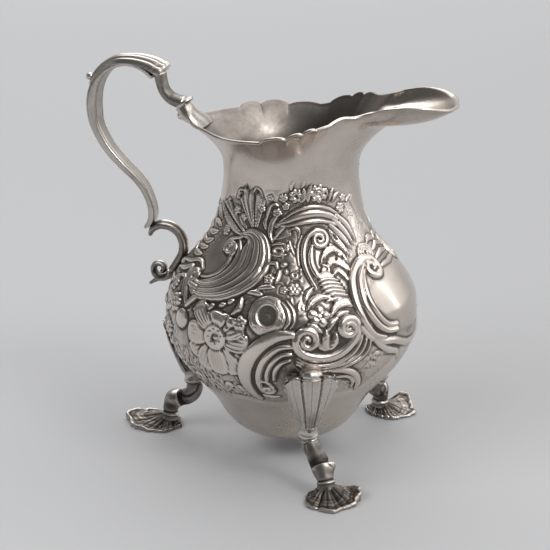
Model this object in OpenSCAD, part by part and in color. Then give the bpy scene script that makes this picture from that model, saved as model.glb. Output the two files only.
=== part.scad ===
// Cream jug: raised pear-shaped body with a pouring lip, a cast scroll handle
// and three cast shell-topped legs. Millimetres, +Z up, table at z = 0.
// The body's own axis is the Z axis, the lip points to +X and the handle to -X.

/* [Body] */
// Thickness of the raised sheet
wall_t = 0.6; // [0.5:0.1:1]
// Widest radius of the belly
belly_r = 34.2; // [32:0.1:36]
// Narrowest radius of the neck
neck_r = 18; // [17:0.1:19.5]
// Height of the ordinary rim above the table
rim_h = 89.8; // [88.5:0.1:92]
// Radius of the ordinary rim
rim_r = 24; // [23:0.1:25.5]
// How far each small rim scallop stands up
scallop_h = 1.3; // [0.4:0.1:2]

/* [Lip] */
// Distance from the body axis to the tip of the lip
lip_reach = 44.2; // [41:0.1:47]
// Half the width of the lip
lip_half_w = 13.8; // [12:0.1:15]
// Height of the lip's side edges
lip_edge_h = 98.7; // [96.5:0.1:100]
// Height of the underside of the lip's trough
lip_floor_h = 92.4; // [91:0.1:93.5]

/* [Legs] */
// Direction of the leg on the near side
near_leg_a = -66; // [-70:1:-60]
// Direction of the leg on the far side
far_leg_a = 49; // [44:1:54]
// Direction of the leg under the handle
back_leg_a = 171; // [166:1:176]
// Half the width of each knee shell at its top
knee_half_w = 6.7; // [6:0.1:7.6]
// Height of the dome above each knee shell
knee_dome_h = 2.3; // [1.8:0.1:2.6]
// Size of the feet compared with the drawn outline
foot_size = 1; // [0.9:0.02:1.1]

/* [Handle] */
// Half the width of the handle strap at its widest
strap_half_w = 3.3; // [2.6:0.1:4]
// Half the width of the leaf cap at its end
leaf_half_w = 4.7; // [4:0.1:5.5]
// Radius of the small bead where the leaf starts
thumb_bead_r = 1.15; // [0.9:0.05:1.4]
// Radius of the bead under the collar
socket_bead_r = 1.25; // [1:0.05:1.5]

/* [Hidden] */
$fn = 96;

// Where the turned part of the body gives way to the shaped rim
join_z = 80;
rim_stations = 108;
rim_rows = 12;
// Direction from the lip at which the lip's edge meets the ordinary rim
lip_root_a = 52;

// ---------- small helpers ----------
function unit(v) = v / norm(v);
function clamp(x, a, b) = min(max(x, a), b);
function step01(x) = let (t = clamp(x, 0, 1)) t * t * (3 - 2 * t);
function mix(a, b, t) = a * (1 - t) + b * t;
function xyz(v) = [v[0], v[1], v[2]];
function cat(a, b, c, d, u) =
    0.5 * (2 * b + (c - a) * u + (2 * a - 5 * b + 4 * c - d) * u * u
    + (3 * b - a - 3 * c + d) * u * u * u);
function smooth(c, n) = [
    for (i = [0 : len(c) - 2])
    for (j = [0 : n - 1])
    cat(c[max(i - 1, 0)], c[i], c[i + 1], c[min(i + 2, len(c) - 1)], j / n),
    c[len(c) - 1]
];
function at(c, s) = let (
    k = clamp(s, 0, 1) * (len(c) - 1),
    i = min(floor(k), len(c) - 2)
) cat(c[max(i - 1, 0)], c[i], c[i + 1], c[min(i + 2, len(c) - 1)], k - i);
// Lowest of two heights with a rounded changeover
function soft_min(a, b, k) = let (h = clamp(0.5 + (b - a) / (2 * k), 0, 1))
    mix(b, a, h) - k * h * (1 - h);

// ---------- body ----------
// Outer profile of the turned part, [radius, height], from the centre of the
// base to the top of the neck
profile = [
    [0, 4.3], [7, 4.5], [12, 6], [15.6, 8.4], [18, 11.2], [20, 14.3], [22.2, 17.4],
    [25.5, 21], [29.2, 25.2], [32.2, 30], [belly_r - 0.35, 34.6],
    [belly_r, 38], [belly_r - 0.2, 41.6], [33, 46.2], [29.5, 52], [24.3, 58],
    [20.8, 64], [neck_r + 0.95, 70], [neck_r + 0.1, 76], [neck_r, join_z]
];
outer = smooth(profile, 3);
function inward(i) = let (
    t = unit(outer[min(i + 1, len(outer) - 1)] - outer[max(i - 1, 0)])
) [-t[1], t[0]];
inner = [
    for (i = [len(outer) - 1 : -1 : 0])
    let (q = outer[i] + inward(i) * wall_t)
    i == len(outer) - 1 ? [neck_r - wall_t, join_z] :
    i == 0 ? [0, outer[0][1] + wall_t] : [max(q[0], 0), q[1]]
];

module turned_body() {
    rotate_extrude()
        polygon(concat(outer, inner));
}

module turned_block() {
    rotate_extrude()
        polygon(concat(outer, [[0, join_z]]));
}

// Scallops along the rim: [direction, half width, height factor]
lobes = [
    [-86, 8, 1.3], [-73, 5, 0.9], [-64, 4, 0.7],
    [57, 5, 0.8], [70, 8, 0.9], [96, 10, 0.6], [117, 9, 1], [133.5, 7, 1]
];
function lobe_sum(a, i) = i >= len(lobes) ? 0 :
    let (x = (a - lobes[i][0]) / lobes[i][1])
    (abs(x) < 1 ? lobes[i][2] * sqrt(1 - x * x) : 0) + lobe_sum(a, i + 1);
function handle_side(a) = step01(1 - (180 - abs(a)) / 42);
function lip_rise(a) = step01((92 - abs(a)) / 50);
// The near side dips a little before the handle, as a hand-worked rim does
function near_dip(a) = step01(1 - abs(a + 118) / 34);
function rim_z(a) = rim_h - 0.4 * handle_side(a) - 0.5 * near_dip(a) + 4.9 * lip_rise(a)
    + scallop_h * lobe_sum(a, 0);
function rim_rad(a) = rim_r + 3.4 * handle_side(a) + 0.8 * lip_rise(a);

// Edge of the lip from its tip to its root, [x, y, z], one side
lip_edge = [
    [lip_reach, 0, lip_edge_h - 2], [lip_reach - 0.6, 4.6, lip_edge_h - 1.8],
    [lip_reach - 2.3, 9, lip_edge_h - 1.1], [38.2, lip_half_w - 1.6, lip_edge_h - 0.2],
    [33, lip_half_w, lip_edge_h], [28.2, lip_half_w - 0.3, lip_edge_h - 0.6],
    [24.4, lip_half_w - 0.9, lip_edge_h - 1.6], [21.2, lip_half_w + 0.2, lip_edge_h - 2.2],
    [18.2, lip_half_w + 2.6, lip_edge_h - 2.6],
    [rim_rad(lip_root_a) * cos(lip_root_a), rim_rad(lip_root_a) * sin(lip_root_a),
        rim_z(lip_root_a)]
];
function side(a) = a < 0 ? -1 : 1;
function edge_point(a) = let (s = abs(a) / lip_root_a)
    s >= 1 ? [rim_rad(a) * cos(a), rim_rad(a) * sin(a), rim_z(a)] :
    let (p = at(lip_edge, s)) [p[0], side(a) * p[1], p[2]];
function flare_power(v) = pow(v, 0.55);
// One point of the outer face of the rim and lip
function rim_point(a, v) = let (
    e = edge_point(a),
    s = abs(a) / lip_root_a,
    g = pow(v, 1.8),
    n = [neck_r * cos(a), neck_r * sin(a)],
    x = mix(n[0], e[0], g),
    y = mix(n[1], e[1], g),
    t = norm([x, y]) - neck_r,
    full = join_z + (e[2] - join_z) * flare_power(g),
    low = join_z + (mix(10, 15.2, step01(s)) * flare_power(max(t, 0) / 6.5)),
    pan = lip_floor_h + (e[2] - lip_floor_h) * pow(g, mix(4.6, 1.7, step01(s))),
    dish = soft_min(low, pan, 1.4)
) [x, y, v == 0 ? join_z : mix(full, dish, step01((1 - s) / 0.3))];
function rim_normal(a, v) = let (
    da = rim_point(a + 0.8, max(v, 0.02)) - rim_point(a - 0.8, max(v, 0.02)),
    dv = rim_point(a, min(v + 0.02, 1)) - rim_point(a, max(v - 0.02, 0))
) v == 0 ? [cos(a), sin(a), 0] : unit(cross(da, dv));

function rim_angle(k) = let (u = 2 * k / rim_stations - 1)
    180 * (0.62 * u + 0.38 * u * u * u);
module shaped_rim() {
    n = rim_stations;
    m = rim_rows + 1;
    lap = 0.03;
    out_pts = [
        for (r = [-1 : rim_rows]) for (k = [0 : n - 1])
        let (a = rim_angle(k + 0.5))
        r < 0 ? [(neck_r + lap) * cos(a), (neck_r + lap) * sin(a), join_z - 1] :
        rim_point(a, r / rim_rows) + lap * rim_normal(a, r / rim_rows)
    ];
    in_pts = [
        for (r = [-1 : rim_rows]) for (k = [0 : n - 1])
        let (a = rim_angle(k + 0.5), d = wall_t + lap)
        r < 0 ? [(neck_r - d) * cos(a), (neck_r - d) * sin(a), join_z - 1] :
        rim_point(a, r / rim_rows) - d * rim_normal(a, r / rim_rows)
    ];
    o = n * (m + 1);
    faces = concat(
        [for (r = [0 : m - 1]) for (k = [0 : n - 1]) let (j = (k + 1) % n)
            [r * n + k, (r + 1) * n + k, (r + 1) * n + j, r * n + j]],
        [for (r = [0 : m - 1]) for (k = [0 : n - 1]) let (j = (k + 1) % n)
            [o + r * n + j, o + (r + 1) * n + j, o + (r + 1) * n + k, o + r * n + k]],
        [for (k = [0 : n - 1]) let (j = (k + 1) % n)
            [m * n + k, o + m * n + k, o + m * n + j, m * n + j]],
        [for (k = [0 : n - 1]) let (j = (k + 1) % n)
            [j, o + j, o + k, k]]
    );
    polyhedron(concat(out_pts, in_pts), faces, convexity = 10);
}

module body() {
    color("silver")
    union() {
        turned_body();
        shaped_rim();
    }
}

// ---------- swept castings ----------
// Each station is [x, y, z, half width, outer half depth, inner half depth]
module swept(c, n, sides) {
    p = smooth(c, n);
    m = len(p);
    pts = [
        for (i = [0 : m - 1])
        let (
            t = unit(xyz(p[min(i + 1, m - 1)]) - xyz(p[max(i - 1, 0)])),
            d = unit(cross([0, 1, 0], t)),
            b = cross(t, d)
        )
        for (k = [0 : sides - 1])
        let (a = 360 * (k + 0.5) / sides)
        xyz(p[i]) + b * p[i][3] * sin(a) + d * cos(a) * (cos(a) > 0 ? p[i][4] : p[i][5])
    ];
    polyhedron(pts, tube_faces(m, sides), convexity = 8);
}
function tube_faces(m, s) = concat(
    [[for (k = [0 : s - 1]) k]],
    [[for (k = [s - 1 : -1 : 0]) (m - 1) * s + k]],
    [for (i = [0 : m - 2]) for (k = [0 : s - 1]) let (j = (k + 1) % s)
        [i * s + j, i * s + k, (i + 1) * s + k, (i + 1) * s + j]]
);

// ---------- handle, in the plane y = 0 ----------
strap = [
    [-37.6, 0, 100.9, 3.2, 0.9, 0.8], [-40.4, 0, 103.1, 3.6, 0.9, 0.8],
    [-44, 0, 104.1, 3.6, 0.9, 0.8], [-47.8, 0, 103.5, strap_half_w, 0.9, 0.8],
    [-51.2, 0, 101.4, strap_half_w, 1.1, 0.9], [-53.6, 0, 98.2, strap_half_w, 1.5, 1.3],
    [-54.7, 0, 94.4, strap_half_w, 1.8, 1.5], [-54.8, 0, 90.6, strap_half_w, 1.8, 1.5],
    [-53.9, 0, 86.4, strap_half_w - 0.1, 1.7, 1.1], [-51, 0, 81, strap_half_w - 0.3, 1.6, 1.1],
    [-46.9, 0, 76.4, strap_half_w - 0.5, 1.5, 1], [-43.2, 0, 73, strap_half_w - 0.8, 1.4, 0.9],
    [-40.5, 0, 69.4, strap_half_w - 1, 1.3, 0.9], [-39, 0, 65.6, strap_half_w - 1.1, 1.2, 0.9],
    [-38.7, 0, 62.6, strap_half_w - 1.2, 1.2, 1], [-39.4, 0, 60.4, 1.8, 1, 0.9],
    [-41.1, 0, 58.7, 0.9, 0.4, 0.4]
];
leaf = [
    [-55.9, 0, 97.4, 0.5, 0.4, 0.4], [-54.8, 0, 99.6, 1.5, 0.7, 0.7],
    [-52, 0, 102.5, 2.6, 0.9, 0.9], [-48, 0, 104.7, 3.4, 1, 1],
    [-43.9, 0, 105.3, 4, 1.1, 1], [-40, 0, 105, leaf_half_w - 0.2, 1.3, 1],
    [-36.9, 0, 103.9, leaf_half_w + 0.2, 1.4, 1.2], [-34.9, 0, 102.4, leaf_half_w, 1.2, 1.2]
];
grip_neck = [
    [-36.1, 0, 101.6, 2.7, 1.7, 1.5], [-35.7, 0, 99.2, 2.3, 1.6, 1.5],
    [-34.9, 0, 96.9, 2.2, 1.6, 1.5], [-33.2, 0, 95.1, 2.3, 1.7, 1.6],
    [-31.3, 0, 94.3, 2.4, 1.8, 1.7], [-29.9, 0, 93.9, 2.5, 1.9, 1.9]
];
low_scroll = [
    [-39.8, 0, 56.7, 0.9, 0.5, 0.5], [-38.8, 0, 58.5, 1.7, 0.9, 0.9],
    [-36.6, 0, 59.8, 2.1, 1.2, 1.1], [-33.8, 0, 59.6, 2.1, 1.3, 1.1],
    [-31.4, 0, 58, 2.1, 1.3, 1.1], [-30.2, 0, 55.3, 2.1, 1.3, 1.1],
    [-30.4, 0, 52.4, 2.1, 1.3, 1.1], [-31.8, 0, 49.8, 2, 1.2, 1.1],
    [-33.4, 0, 47.5, 2, 1.1, 1]
];
// The end of the lower scroll, curling round this centre
curl_x = -36.9;
curl_z = 47.3;
curl = [
    for (i = [0 : 16])
    let (a = -4 - i * 26, r = 2.9 - i * 0.135)
    [curl_x + r * cos(a), 0, curl_z + r * sin(a), 2 - i * 0.03, 0.95 - i * 0.02, 0.9 - i * 0.02]
];
spur = [
    [-36.2, 0, 44.7, 1.5, 0.7, 0.7], [-38, 0, 44.3, 1.2, 0.6, 0.6],
    [-40, 0, 43, 0.7, 0.35, 0.35]
];
collar_at = [-29.45, 0, 93.9];
collar_tilt = 143;

module along_handle() {
    translate(collar_at)
        rotate([0, collar_tilt, 0])
            children();
}

module handle_shank() {
    color("gainsboro")
    difference() {
        swept(strap, 4, 14);
        swept(leaf, 3, 14);
    }
}

module handle_leaf_cap() {
    color("lightsteelblue")
    difference() {
        swept(leaf, 3, 14);
        translate([-36.1, 0, 101.6])
            rotate([0, 10, 0])
                translate([0, 0, -6])
                    cylinder(h = 6.6, r = 1.6);
    }
}

module handle_thumb_bead() {
    color("white")
    difference() {
        translate([-56, 0, 99.6])
            sphere(r = thumb_bead_r);
        swept(strap, 4, 14);
        swept(leaf, 3, 14);
    }
}

module handle_neck() {
    color("silver")
    difference() {
        swept(grip_neck, 5, 16);
        swept(strap, 4, 14);
        swept(leaf, 3, 14);
        along_handle()
            translate([-6, -6, -0.7])
                cube(12);
    }
}

module collar_ring() {
    along_handle()
        rotate_extrude()
            polygon([
                [0, -0.7], [2.4, -0.7], [2.75, -0.4], [2.85, 0],
                [2.75, 0.4], [2.4, 0.7], [0, 0.7]
            ]);
}

module handle_collar() {
    color("whitesmoke")
        collar_ring();
}

// Trumpet that carries the handle down on to the rim
socket_profile = [
    [0, 0.7], [2.45, 0.7], [2.35, 1.6], [2.5, 2.6], [3, 3.6], [3.8, 4.6], [4.7, 5.4], [0, 5.4]
];
module handle_rim_socket() {
    color("lightgrey")
    difference() {
        along_handle()
            rotate_extrude()
                polygon(socket_profile);
        shaped_rim();
        turned_block();
        translate([-10, 0, 90])
            cube([25, 40, 30], center = true);
    }
}

module handle_socket_bead() {
    color("white")
    difference() {
        translate([-30.3, 0, 90.4])
            sphere(r = socket_bead_r);
        collar_ring();
        along_handle()
            rotate_extrude()
                polygon(socket_profile);
        shaped_rim();
    }
}

module handle_lower_scroll() {
    color("gainsboro")
    difference() {
        swept(low_scroll, 5, 14);
        turned_block();
        swept(strap, 4, 14);
    }
}

module handle_volute() {
    color("whitesmoke")
    difference() {
        union() {
            swept(curl, 1, 14);
            swept(spur, 3, 12);
        }
        swept(low_scroll, 5, 14);
        turned_block();
    }
}

// ---------- legs, drawn along +X ----------
// reach shifts a foot outwards, sway sideways of its knee
function leg_path(reach, sway) = [
    [30.4, 0, 16.4, 2.4, 2.3, 2.3], [30.1, 0, 15.4, 2.2, 2.1, 2.1],
    [29.8, 0, 14.2, 2.5, 2.4, 2.4], [29.6, 0.03 * sway, 13.1, 2.1, 2.1, 2],
    [29.6, 0.14 * sway, 11.7, 2.1, 2, 1.9], [30.2 + 0.3 * reach, 0.34 * sway, 10.2, 2.1, 2, 1.9],
    [31.8 + 0.6 * reach, 0.56 * sway, 8.8, 2.5, 2.2, 2], [33.4 + 0.84 * reach, 0.76 * sway, 7.4, 2.9, 2.6, 2.3],
    [34.6 + 0.95 * reach, 0.9 * sway, 5.6, 2.5, 2.3, 2.2], [35.1 + reach, 0.97 * sway, 4, 2.3, 2.3, 2.2],
    [35.3 + reach, sway, 2.6, 2.5, 2.4, 2.4]
];
ankle_x = 35.3;

// Height across a knee shell, t from -1 to 1: five ribs between four cuts
function cut(t, place, wide) = exp(-pow((abs(t) - place) / wide, 2));
function flutes(t) = (1 - cut(t, 0.38, 0.09)) * (1 - 0.7 * cut(t, 0.78, 0.09));
module knee_profile(depth) {
    p = smooth([
        [31, 16.2, 2.5, 2.1], [31.6, 18.4, 3, 2.2], [32.4, 21.2, 4, 2.3],
        [33.2, 24.3, 5.2, 2.3], [33.9, 27.5, 6.4, 2.1], [34.2, 30, knee_half_w, 1.9],
        [34.2, 31.6, knee_half_w - 0.5, 1.5]
    ], 3);
    s = 48;
    m = len(p);
    pts = [
        for (i = [0 : m - 1]) for (k = [0 : s - 1])
        let (
            a = 360 * (k + 0.5) / s,
            c = cos(a),
            g = c > 0 ? 0.72 + 0.28 * flutes(sin(a)) : 0.72
        )
        [
            p[i][0] + c * (c > 0 ? p[i][3] * g : depth),
            p[i][2] * sin(a) * (0.96 + 0.04 * g),
            p[i][1] - 1.1 * abs(sin(a)) * sin(180 * i / (m - 1))
        ]
    ];
    polyhedron(pts, tube_faces(m, s), convexity = 8);
}

module knee_shell(a, reach, sway) {
    difference() {
        rotate([0, 0, a])
            knee_profile(3);
        turned_block();
        rotate([0, 0, a])
            swept(leg_path(reach, sway), 3, 16);
    }
}

// Flattened dome on a low ring, standing on the flat top of the knee shell
module knee_boss(a) {
    difference() {
        rotate([0, 0, a])
            translate([34, 0, 31.6])
                swept([
                    for (q = [
                        [3.1, 0], [3.2, 0.15], [3, 0.3], [2.95, 0.5], [2.85, 0.42 * knee_dome_h],
                        [2.4, 0.72 * knee_dome_h], [1.4, 0.94 * knee_dome_h], [0.4, knee_dome_h]
                    ])
                    [0, 0, q[1], q[0], q[0], q[0]]
                ], 2, 28);
        turned_block();
    }
}

module shank(a, reach, sway, outline, raised) {
    difference() {
        rotate([0, 0, a])
            swept(leg_path(reach, sway), 3, 16);
        turned_block();
        foot_shape(a, reach, sway, outline, raised);
    }
}

// Outline of a foot: its reach at each eighth of a turn from the toe, then
// pleated. raised is [direction, width, height] of the part that turns up.
foot_sides = 64;
foot_rows = 7;
function around(c, b) = let (k = b / 45, i = floor(k))
    cat(c[(i + 7) % 8], c[i % 8], c[(i + 1) % 8], c[(i + 2) % 8], k - i);
function foot_reach(c, b) = foot_size * around(c, b) * (1 - 0.07 * (1 - abs(cos(4.5 * b))));
function apart(a, b) = abs((a - b + 540) % 360 - 180);
function foot_height(b, v, raised) = let (
    pleat = (0.5 + 0.5 * cos(9 * b)) * sin(180 * min(v, 0.94)) * 0.9,
    turned = raised[2] * exp(-pow(apart(b, raised[0]) / raised[1], 2)) * pow(v, 2.4)
) 0.8 + 2.9 * pow(1 - v, 1.7) + pleat + turned;
module foot_pad(outline, raised) {
    n = foot_sides;
    top = [
        for (r = [1 : foot_rows]) for (k = [0 : n - 1])
        let (b = 360 * k / n, v = r / foot_rows, d = v * foot_reach(outline, b))
        [d * cos(b), d * sin(b), foot_height(b, v, raised)]
    ];
    base = [for (k = [0 : n - 1]) let (b = 360 * k / n, d = foot_reach(outline, b))
        [d * cos(b), d * sin(b), 0]];
    o = n * foot_rows;
    faces = concat(
        [[for (k = [n - 1 : -1 : 0]) k]],
        [for (r = [0 : foot_rows - 2]) for (k = [0 : n - 1]) let (j = (k + 1) % n)
            [r * n + k, r * n + j, (r + 1) * n + j, (r + 1) * n + k]],
        [for (k = [0 : n - 1]) let (j = (k + 1) % n)
            [o - n + k, o - n + j, o + j, o + k]],
        [[for (k = [0 : n - 1]) o + k]]
    );
    polyhedron(concat(top, base), faces, convexity = 6);
}

module foot_shape(a, reach, sway, outline, raised) {
    rotate([0, 0, a])
        translate([ankle_x + reach, sway, 0])
            foot_pad(outline, raised);
}

near_reach = 2.8;
near_sway = 3.5;
near_outline = [11.6, 9.6, 9.4, 5.2, 3.6, 3.9, 5.2, 8.8];
near_raised = [78, 26, 2.2];
far_reach = -0.4;
far_sway = 6.2;
far_outline = [10, 7.6, 6, 4.2, 3.6, 4.7, 7.4, 10.2];
far_raised = [8, 19, 3.4];
back_reach = 1.2;
back_sway = 1.8;
back_outline = [13.8, 9.4, 7, 3.8, 3.6, 3.8, 5.8, 9.6];
back_raised = [345, 32, 1.5];

module near_knee_shell() { color("lightgrey") knee_shell(near_leg_a, near_reach, near_sway); }
module near_knee_boss() { color("white") knee_boss(near_leg_a); }
module near_shank() {
    color("silver")
        shank(near_leg_a, near_reach, near_sway, near_outline, near_raised);
}
module near_foot() {
    color("gainsboro")
        foot_shape(near_leg_a, near_reach, near_sway, near_outline, near_raised);
}
module far_knee_shell() { color("lightgrey") knee_shell(far_leg_a, far_reach, far_sway); }
module far_knee_boss() { color("white") knee_boss(far_leg_a); }
module far_shank() {
    color("silver")
        shank(far_leg_a, far_reach, far_sway, far_outline, far_raised);
}
module far_foot() {
    color("gainsboro")
        foot_shape(far_leg_a, far_reach, far_sway, far_outline, far_raised);
}
module back_knee_shell() { color("lightgrey") knee_shell(back_leg_a, back_reach, back_sway); }
module back_knee_boss() { color("white") knee_boss(back_leg_a); }
module back_shank() {
    color("silver")
        shank(back_leg_a, back_reach, back_sway, back_outline, back_raised);
}
module back_foot() {
    color("gainsboro")
        foot_shape(back_leg_a, back_reach, back_sway, back_outline, back_raised);
}

body();
handle_rim_socket();
handle_socket_bead();
handle_collar();
handle_neck();
handle_leaf_cap();
handle_thumb_bead();
handle_shank();
handle_lower_scroll();
handle_volute();
near_knee_shell();
near_knee_boss();
near_shank();
near_foot();
far_knee_shell();
far_knee_boss();
far_shank();
far_foot();
back_knee_shell();
back_knee_boss();
back_shank();
back_foot();
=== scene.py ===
"""The silver cream jug as it looks: chased body, cast scroll handle and three shell-topped legs.

Lengths in this script are millimetres until a mesh is made; lights and the camera are in metres.
The frame is the CAD part's: origin on the table under the body's axis, +X the lip, -Y the near side.
"""

import math

import bpy
import numpy as np
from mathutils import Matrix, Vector


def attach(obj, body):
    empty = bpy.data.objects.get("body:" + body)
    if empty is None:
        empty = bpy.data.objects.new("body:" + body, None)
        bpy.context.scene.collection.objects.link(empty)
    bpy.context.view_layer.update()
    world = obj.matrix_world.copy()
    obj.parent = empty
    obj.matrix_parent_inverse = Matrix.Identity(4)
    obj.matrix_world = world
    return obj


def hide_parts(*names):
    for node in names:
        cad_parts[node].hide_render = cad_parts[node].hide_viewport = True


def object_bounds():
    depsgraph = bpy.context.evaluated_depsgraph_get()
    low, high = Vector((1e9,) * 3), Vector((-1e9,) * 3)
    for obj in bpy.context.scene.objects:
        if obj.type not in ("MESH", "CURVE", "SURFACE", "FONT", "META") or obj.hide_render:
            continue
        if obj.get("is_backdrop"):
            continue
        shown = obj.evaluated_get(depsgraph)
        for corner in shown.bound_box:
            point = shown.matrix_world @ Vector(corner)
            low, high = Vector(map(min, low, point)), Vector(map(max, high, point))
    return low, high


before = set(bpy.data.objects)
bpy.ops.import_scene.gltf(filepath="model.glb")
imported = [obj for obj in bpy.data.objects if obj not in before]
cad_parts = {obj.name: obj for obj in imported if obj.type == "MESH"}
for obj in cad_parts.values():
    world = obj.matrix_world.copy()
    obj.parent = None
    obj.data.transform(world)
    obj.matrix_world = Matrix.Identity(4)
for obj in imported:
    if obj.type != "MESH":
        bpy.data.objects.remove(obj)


def plain(box):
    """A box or pair of corners as plain lists of floats."""
    if isinstance(box, dict):
        return {k: plain(v) for k, v in box.items()}
    if hasattr(box, "__len__") and not isinstance(box, str):
        return [plain(v) for v in box]
    return box if isinstance(box, (str, bool)) or box is None else float(box)


sizes = {"before": plain(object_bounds())}
rng = np.random.default_rng(7)
MM = 0.001

# ------------------------------------------------------------------ small maths


def step01(x):
    """Smooth step: 0 below 0, 1 above 1."""
    t = np.clip(x, 0.0, 1.0)
    return t * t * (3 - 2 * t)


def mix(a, b, t):
    """a where t is 0, b where t is 1."""
    return a * (1 - t) + b * t


def bell(x, at, wide):
    """1 where x is at, falling away smoothly over wide on each side."""
    return np.exp(-(((x - at) / wide) ** 2))


def round_top(u):
    """Height of a half circle: 1 in the middle, 0 at u = -1 and 1."""
    return np.sqrt(np.clip(1 - u * u, 0, 1))


def unit(v):
    """Vectors scaled to a length of 1."""
    return v / np.maximum(np.linalg.norm(v, axis=-1, keepdims=True), 1e-9)


def cubic(a, b, c, d, u):
    """Catmull-Rom value between b and c, with a before them and d after."""
    return 0.5 * (2 * b + (c - a) * u + (2 * a - 5 * b + 4 * c - d) * u**2 + (3 * b - a - 3 * c + d) * u**3)


def spline(points, per):
    """Smooth curve through points, with per steps between neighbours."""
    p = np.asarray(points, float)
    n = len(p)
    i = np.minimum(np.arange((n - 1) * per + 1) // per, n - 2)
    u = (np.arange((n - 1) * per + 1) / per - i)[:, None]
    return cubic(p[np.maximum(i - 1, 0)], p[i], p[i + 1], p[np.minimum(i + 2, n - 1)], u)


def soft_min(a, b, k):
    """The smaller of a and b, with a rounded change over a width of k."""
    h = np.clip(0.5 + (b - a) / (2 * k), 0, 1)
    return mix(b, a, h) - k * h * (1 - h)


def blur(h, cells):
    """Box blur run twice, so close to a Gaussian. It wraps round the body but not from top to bottom."""
    n = 2 * cells + 1
    for _ in range(2):
        for axis, edge in enumerate(("edge", "wrap")):
            pad = [(0, 0), (0, 0)]
            pad[axis] = (cells + 1, cells)
            c = np.moveaxis(np.cumsum(np.pad(h, pad, mode=edge), axis=axis), axis, 0)
            h = np.moveaxis((c[n:] - c[:-n]) / n, 0, axis)
    return h
# ------------------------------------------------------------------ body form

WALL = 0.6
BELLY_R, NECK_R, RIM_H, RIM_R = 34.2, 18.0, 89.8, 24.0
# Pouring lip: how far it reaches, half its width, and the heights of its edge and of its floor
REACH, HALF_W, EDGE_H, FLOOR_H = 44.2, 13.8, 98.7, 92.4
# Height where the neck starts to flare, and the direction in degrees where the lip leaves the rim
JOIN_Z, LIP_ROOT = 80.0, 52.0
# Rim by the handle, towards the lip, and where it dips: degrees covered, then changes in mm
HANDLE_SPREAD, HANDLE_DROP, HANDLE_FLARE = 42, 0.4, 3.4
RISE_FROM, RISE_OVER, RISE_UP, RISE_FLARE = 92, 50, 4.9, 0.8
DIP_AT, DIP_HALF, DIP_DOWN = -118, 34, 0.5
# Flare from neck to rim as powers of the way up, then the curves of the lip's throat and of its pan
FLARE, RISE_POWER = 1.8, 0.55
THROAT_R, THROAT_MID, THROAT_SIDE = 6.5, 10, 15.2
PAN_MID, PAN_SIDE, PAN_BLEND, LIP_FADE = 4.6, 1.7, 1.4, 0.3
# Scallops: height, how blunt they are, their share on the near side, and where up the rim they start
SCALLOP, SCALLOP_POWER, NEAR_SHARE, SCALLOP_FROM = 1.3, 0.7, 0.8, 0.6
# Outline from the middle of the base to the neck, as (radius, height)
PROFILE = [
    [0, 4.3], [7, 4.5], [12, 6], [15.6, 8.4], [18, 11.2], [20, 14.3], [22.2, 17.4],
    [25.5, 21], [29.2, 25.2], [32.2, 30], [33.85, 34.6], [34.2, 38], [34, 41.6],
    [33, 46.2], [29.5, 52], [24.3, 58], [20.8, 64], [18.95, 70], [18.1, 76], [18, 80],
]
# Scallops of the rim, as (direction in degrees, half width in degrees, height)
LOBES = [
    [-86, 8, 1.3], [-73, 5, 0.9], [-64, 4, 0.7], [57, 5, 0.8],
    [70, 8, 0.9], [96, 10, 0.6], [117, 9, 1], [133.5, 7, 1],
]

dense = spline(PROFILE, 60)
arc = np.r_[0, np.cumsum(np.hypot(*np.diff(dense, axis=0).T))]
mid_r = np.maximum((dense[1:, 0] + dense[:-1, 0]) / 2, 1.0)
# Chart height: the profile unrolled so that a circle on the chart stays a circle on the metal
chart_y = np.r_[0, np.cumsum(BELLY_R / mid_r * np.diff(arc))]
CHART_ZERO_Z = 17
chart_y -= chart_y[np.argmin(np.abs(dense[:, 1] - CHART_ZERO_Z))]
DEG = BELLY_R * math.pi / 180


def rim_terms(a):
    """Height and radius of the rim at directions a, in degrees from the lip, and its scallops."""
    handle = step01(1 - (180 - np.abs(a)) / HANDLE_SPREAD)
    rise = step01((RISE_FROM - np.abs(a)) / RISE_OVER)
    dip = step01(1 - np.abs(a - DIP_AT) / DIP_HALF)
    bumps = np.zeros_like(a)
    for at, half, high in LOBES:
        x = (a - at) / half
        bumps += np.where(np.abs(x) < 1, high * np.clip(1 - x * x, 0, 1) ** SCALLOP_POWER, 0)
    z = RIM_H - HANDLE_DROP * handle - DIP_DOWN * dip + RISE_UP * rise
    return z, RIM_R + HANDLE_FLARE * handle + RISE_FLARE * rise, SCALLOP * bumps


root_z, root_r, _ = rim_terms(np.array([LIP_ROOT]))
ROOT_AT = math.radians(LIP_ROOT)
LIP_EDGE = [
    [REACH, 0, EDGE_H - 2], [REACH - 0.6, 4.6, EDGE_H - 1.8], [REACH - 2.3, 9, EDGE_H - 1.1],
    [38.2, HALF_W - 1.6, EDGE_H - 0.2], [33, HALF_W, EDGE_H], [28.2, HALF_W - 0.3, EDGE_H - 0.6],
    [24.4, HALF_W - 0.9, EDGE_H - 1.6], [21.2, HALF_W + 0.2, EDGE_H - 2.2],
    [18.2, HALF_W + 2.6, EDGE_H - 2.6],
    [root_r[0] * math.cos(ROOT_AT), root_r[0] * math.sin(ROOT_AT), root_z[0]],
]
lip_dense = spline(LIP_EDGE, 40)


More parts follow.
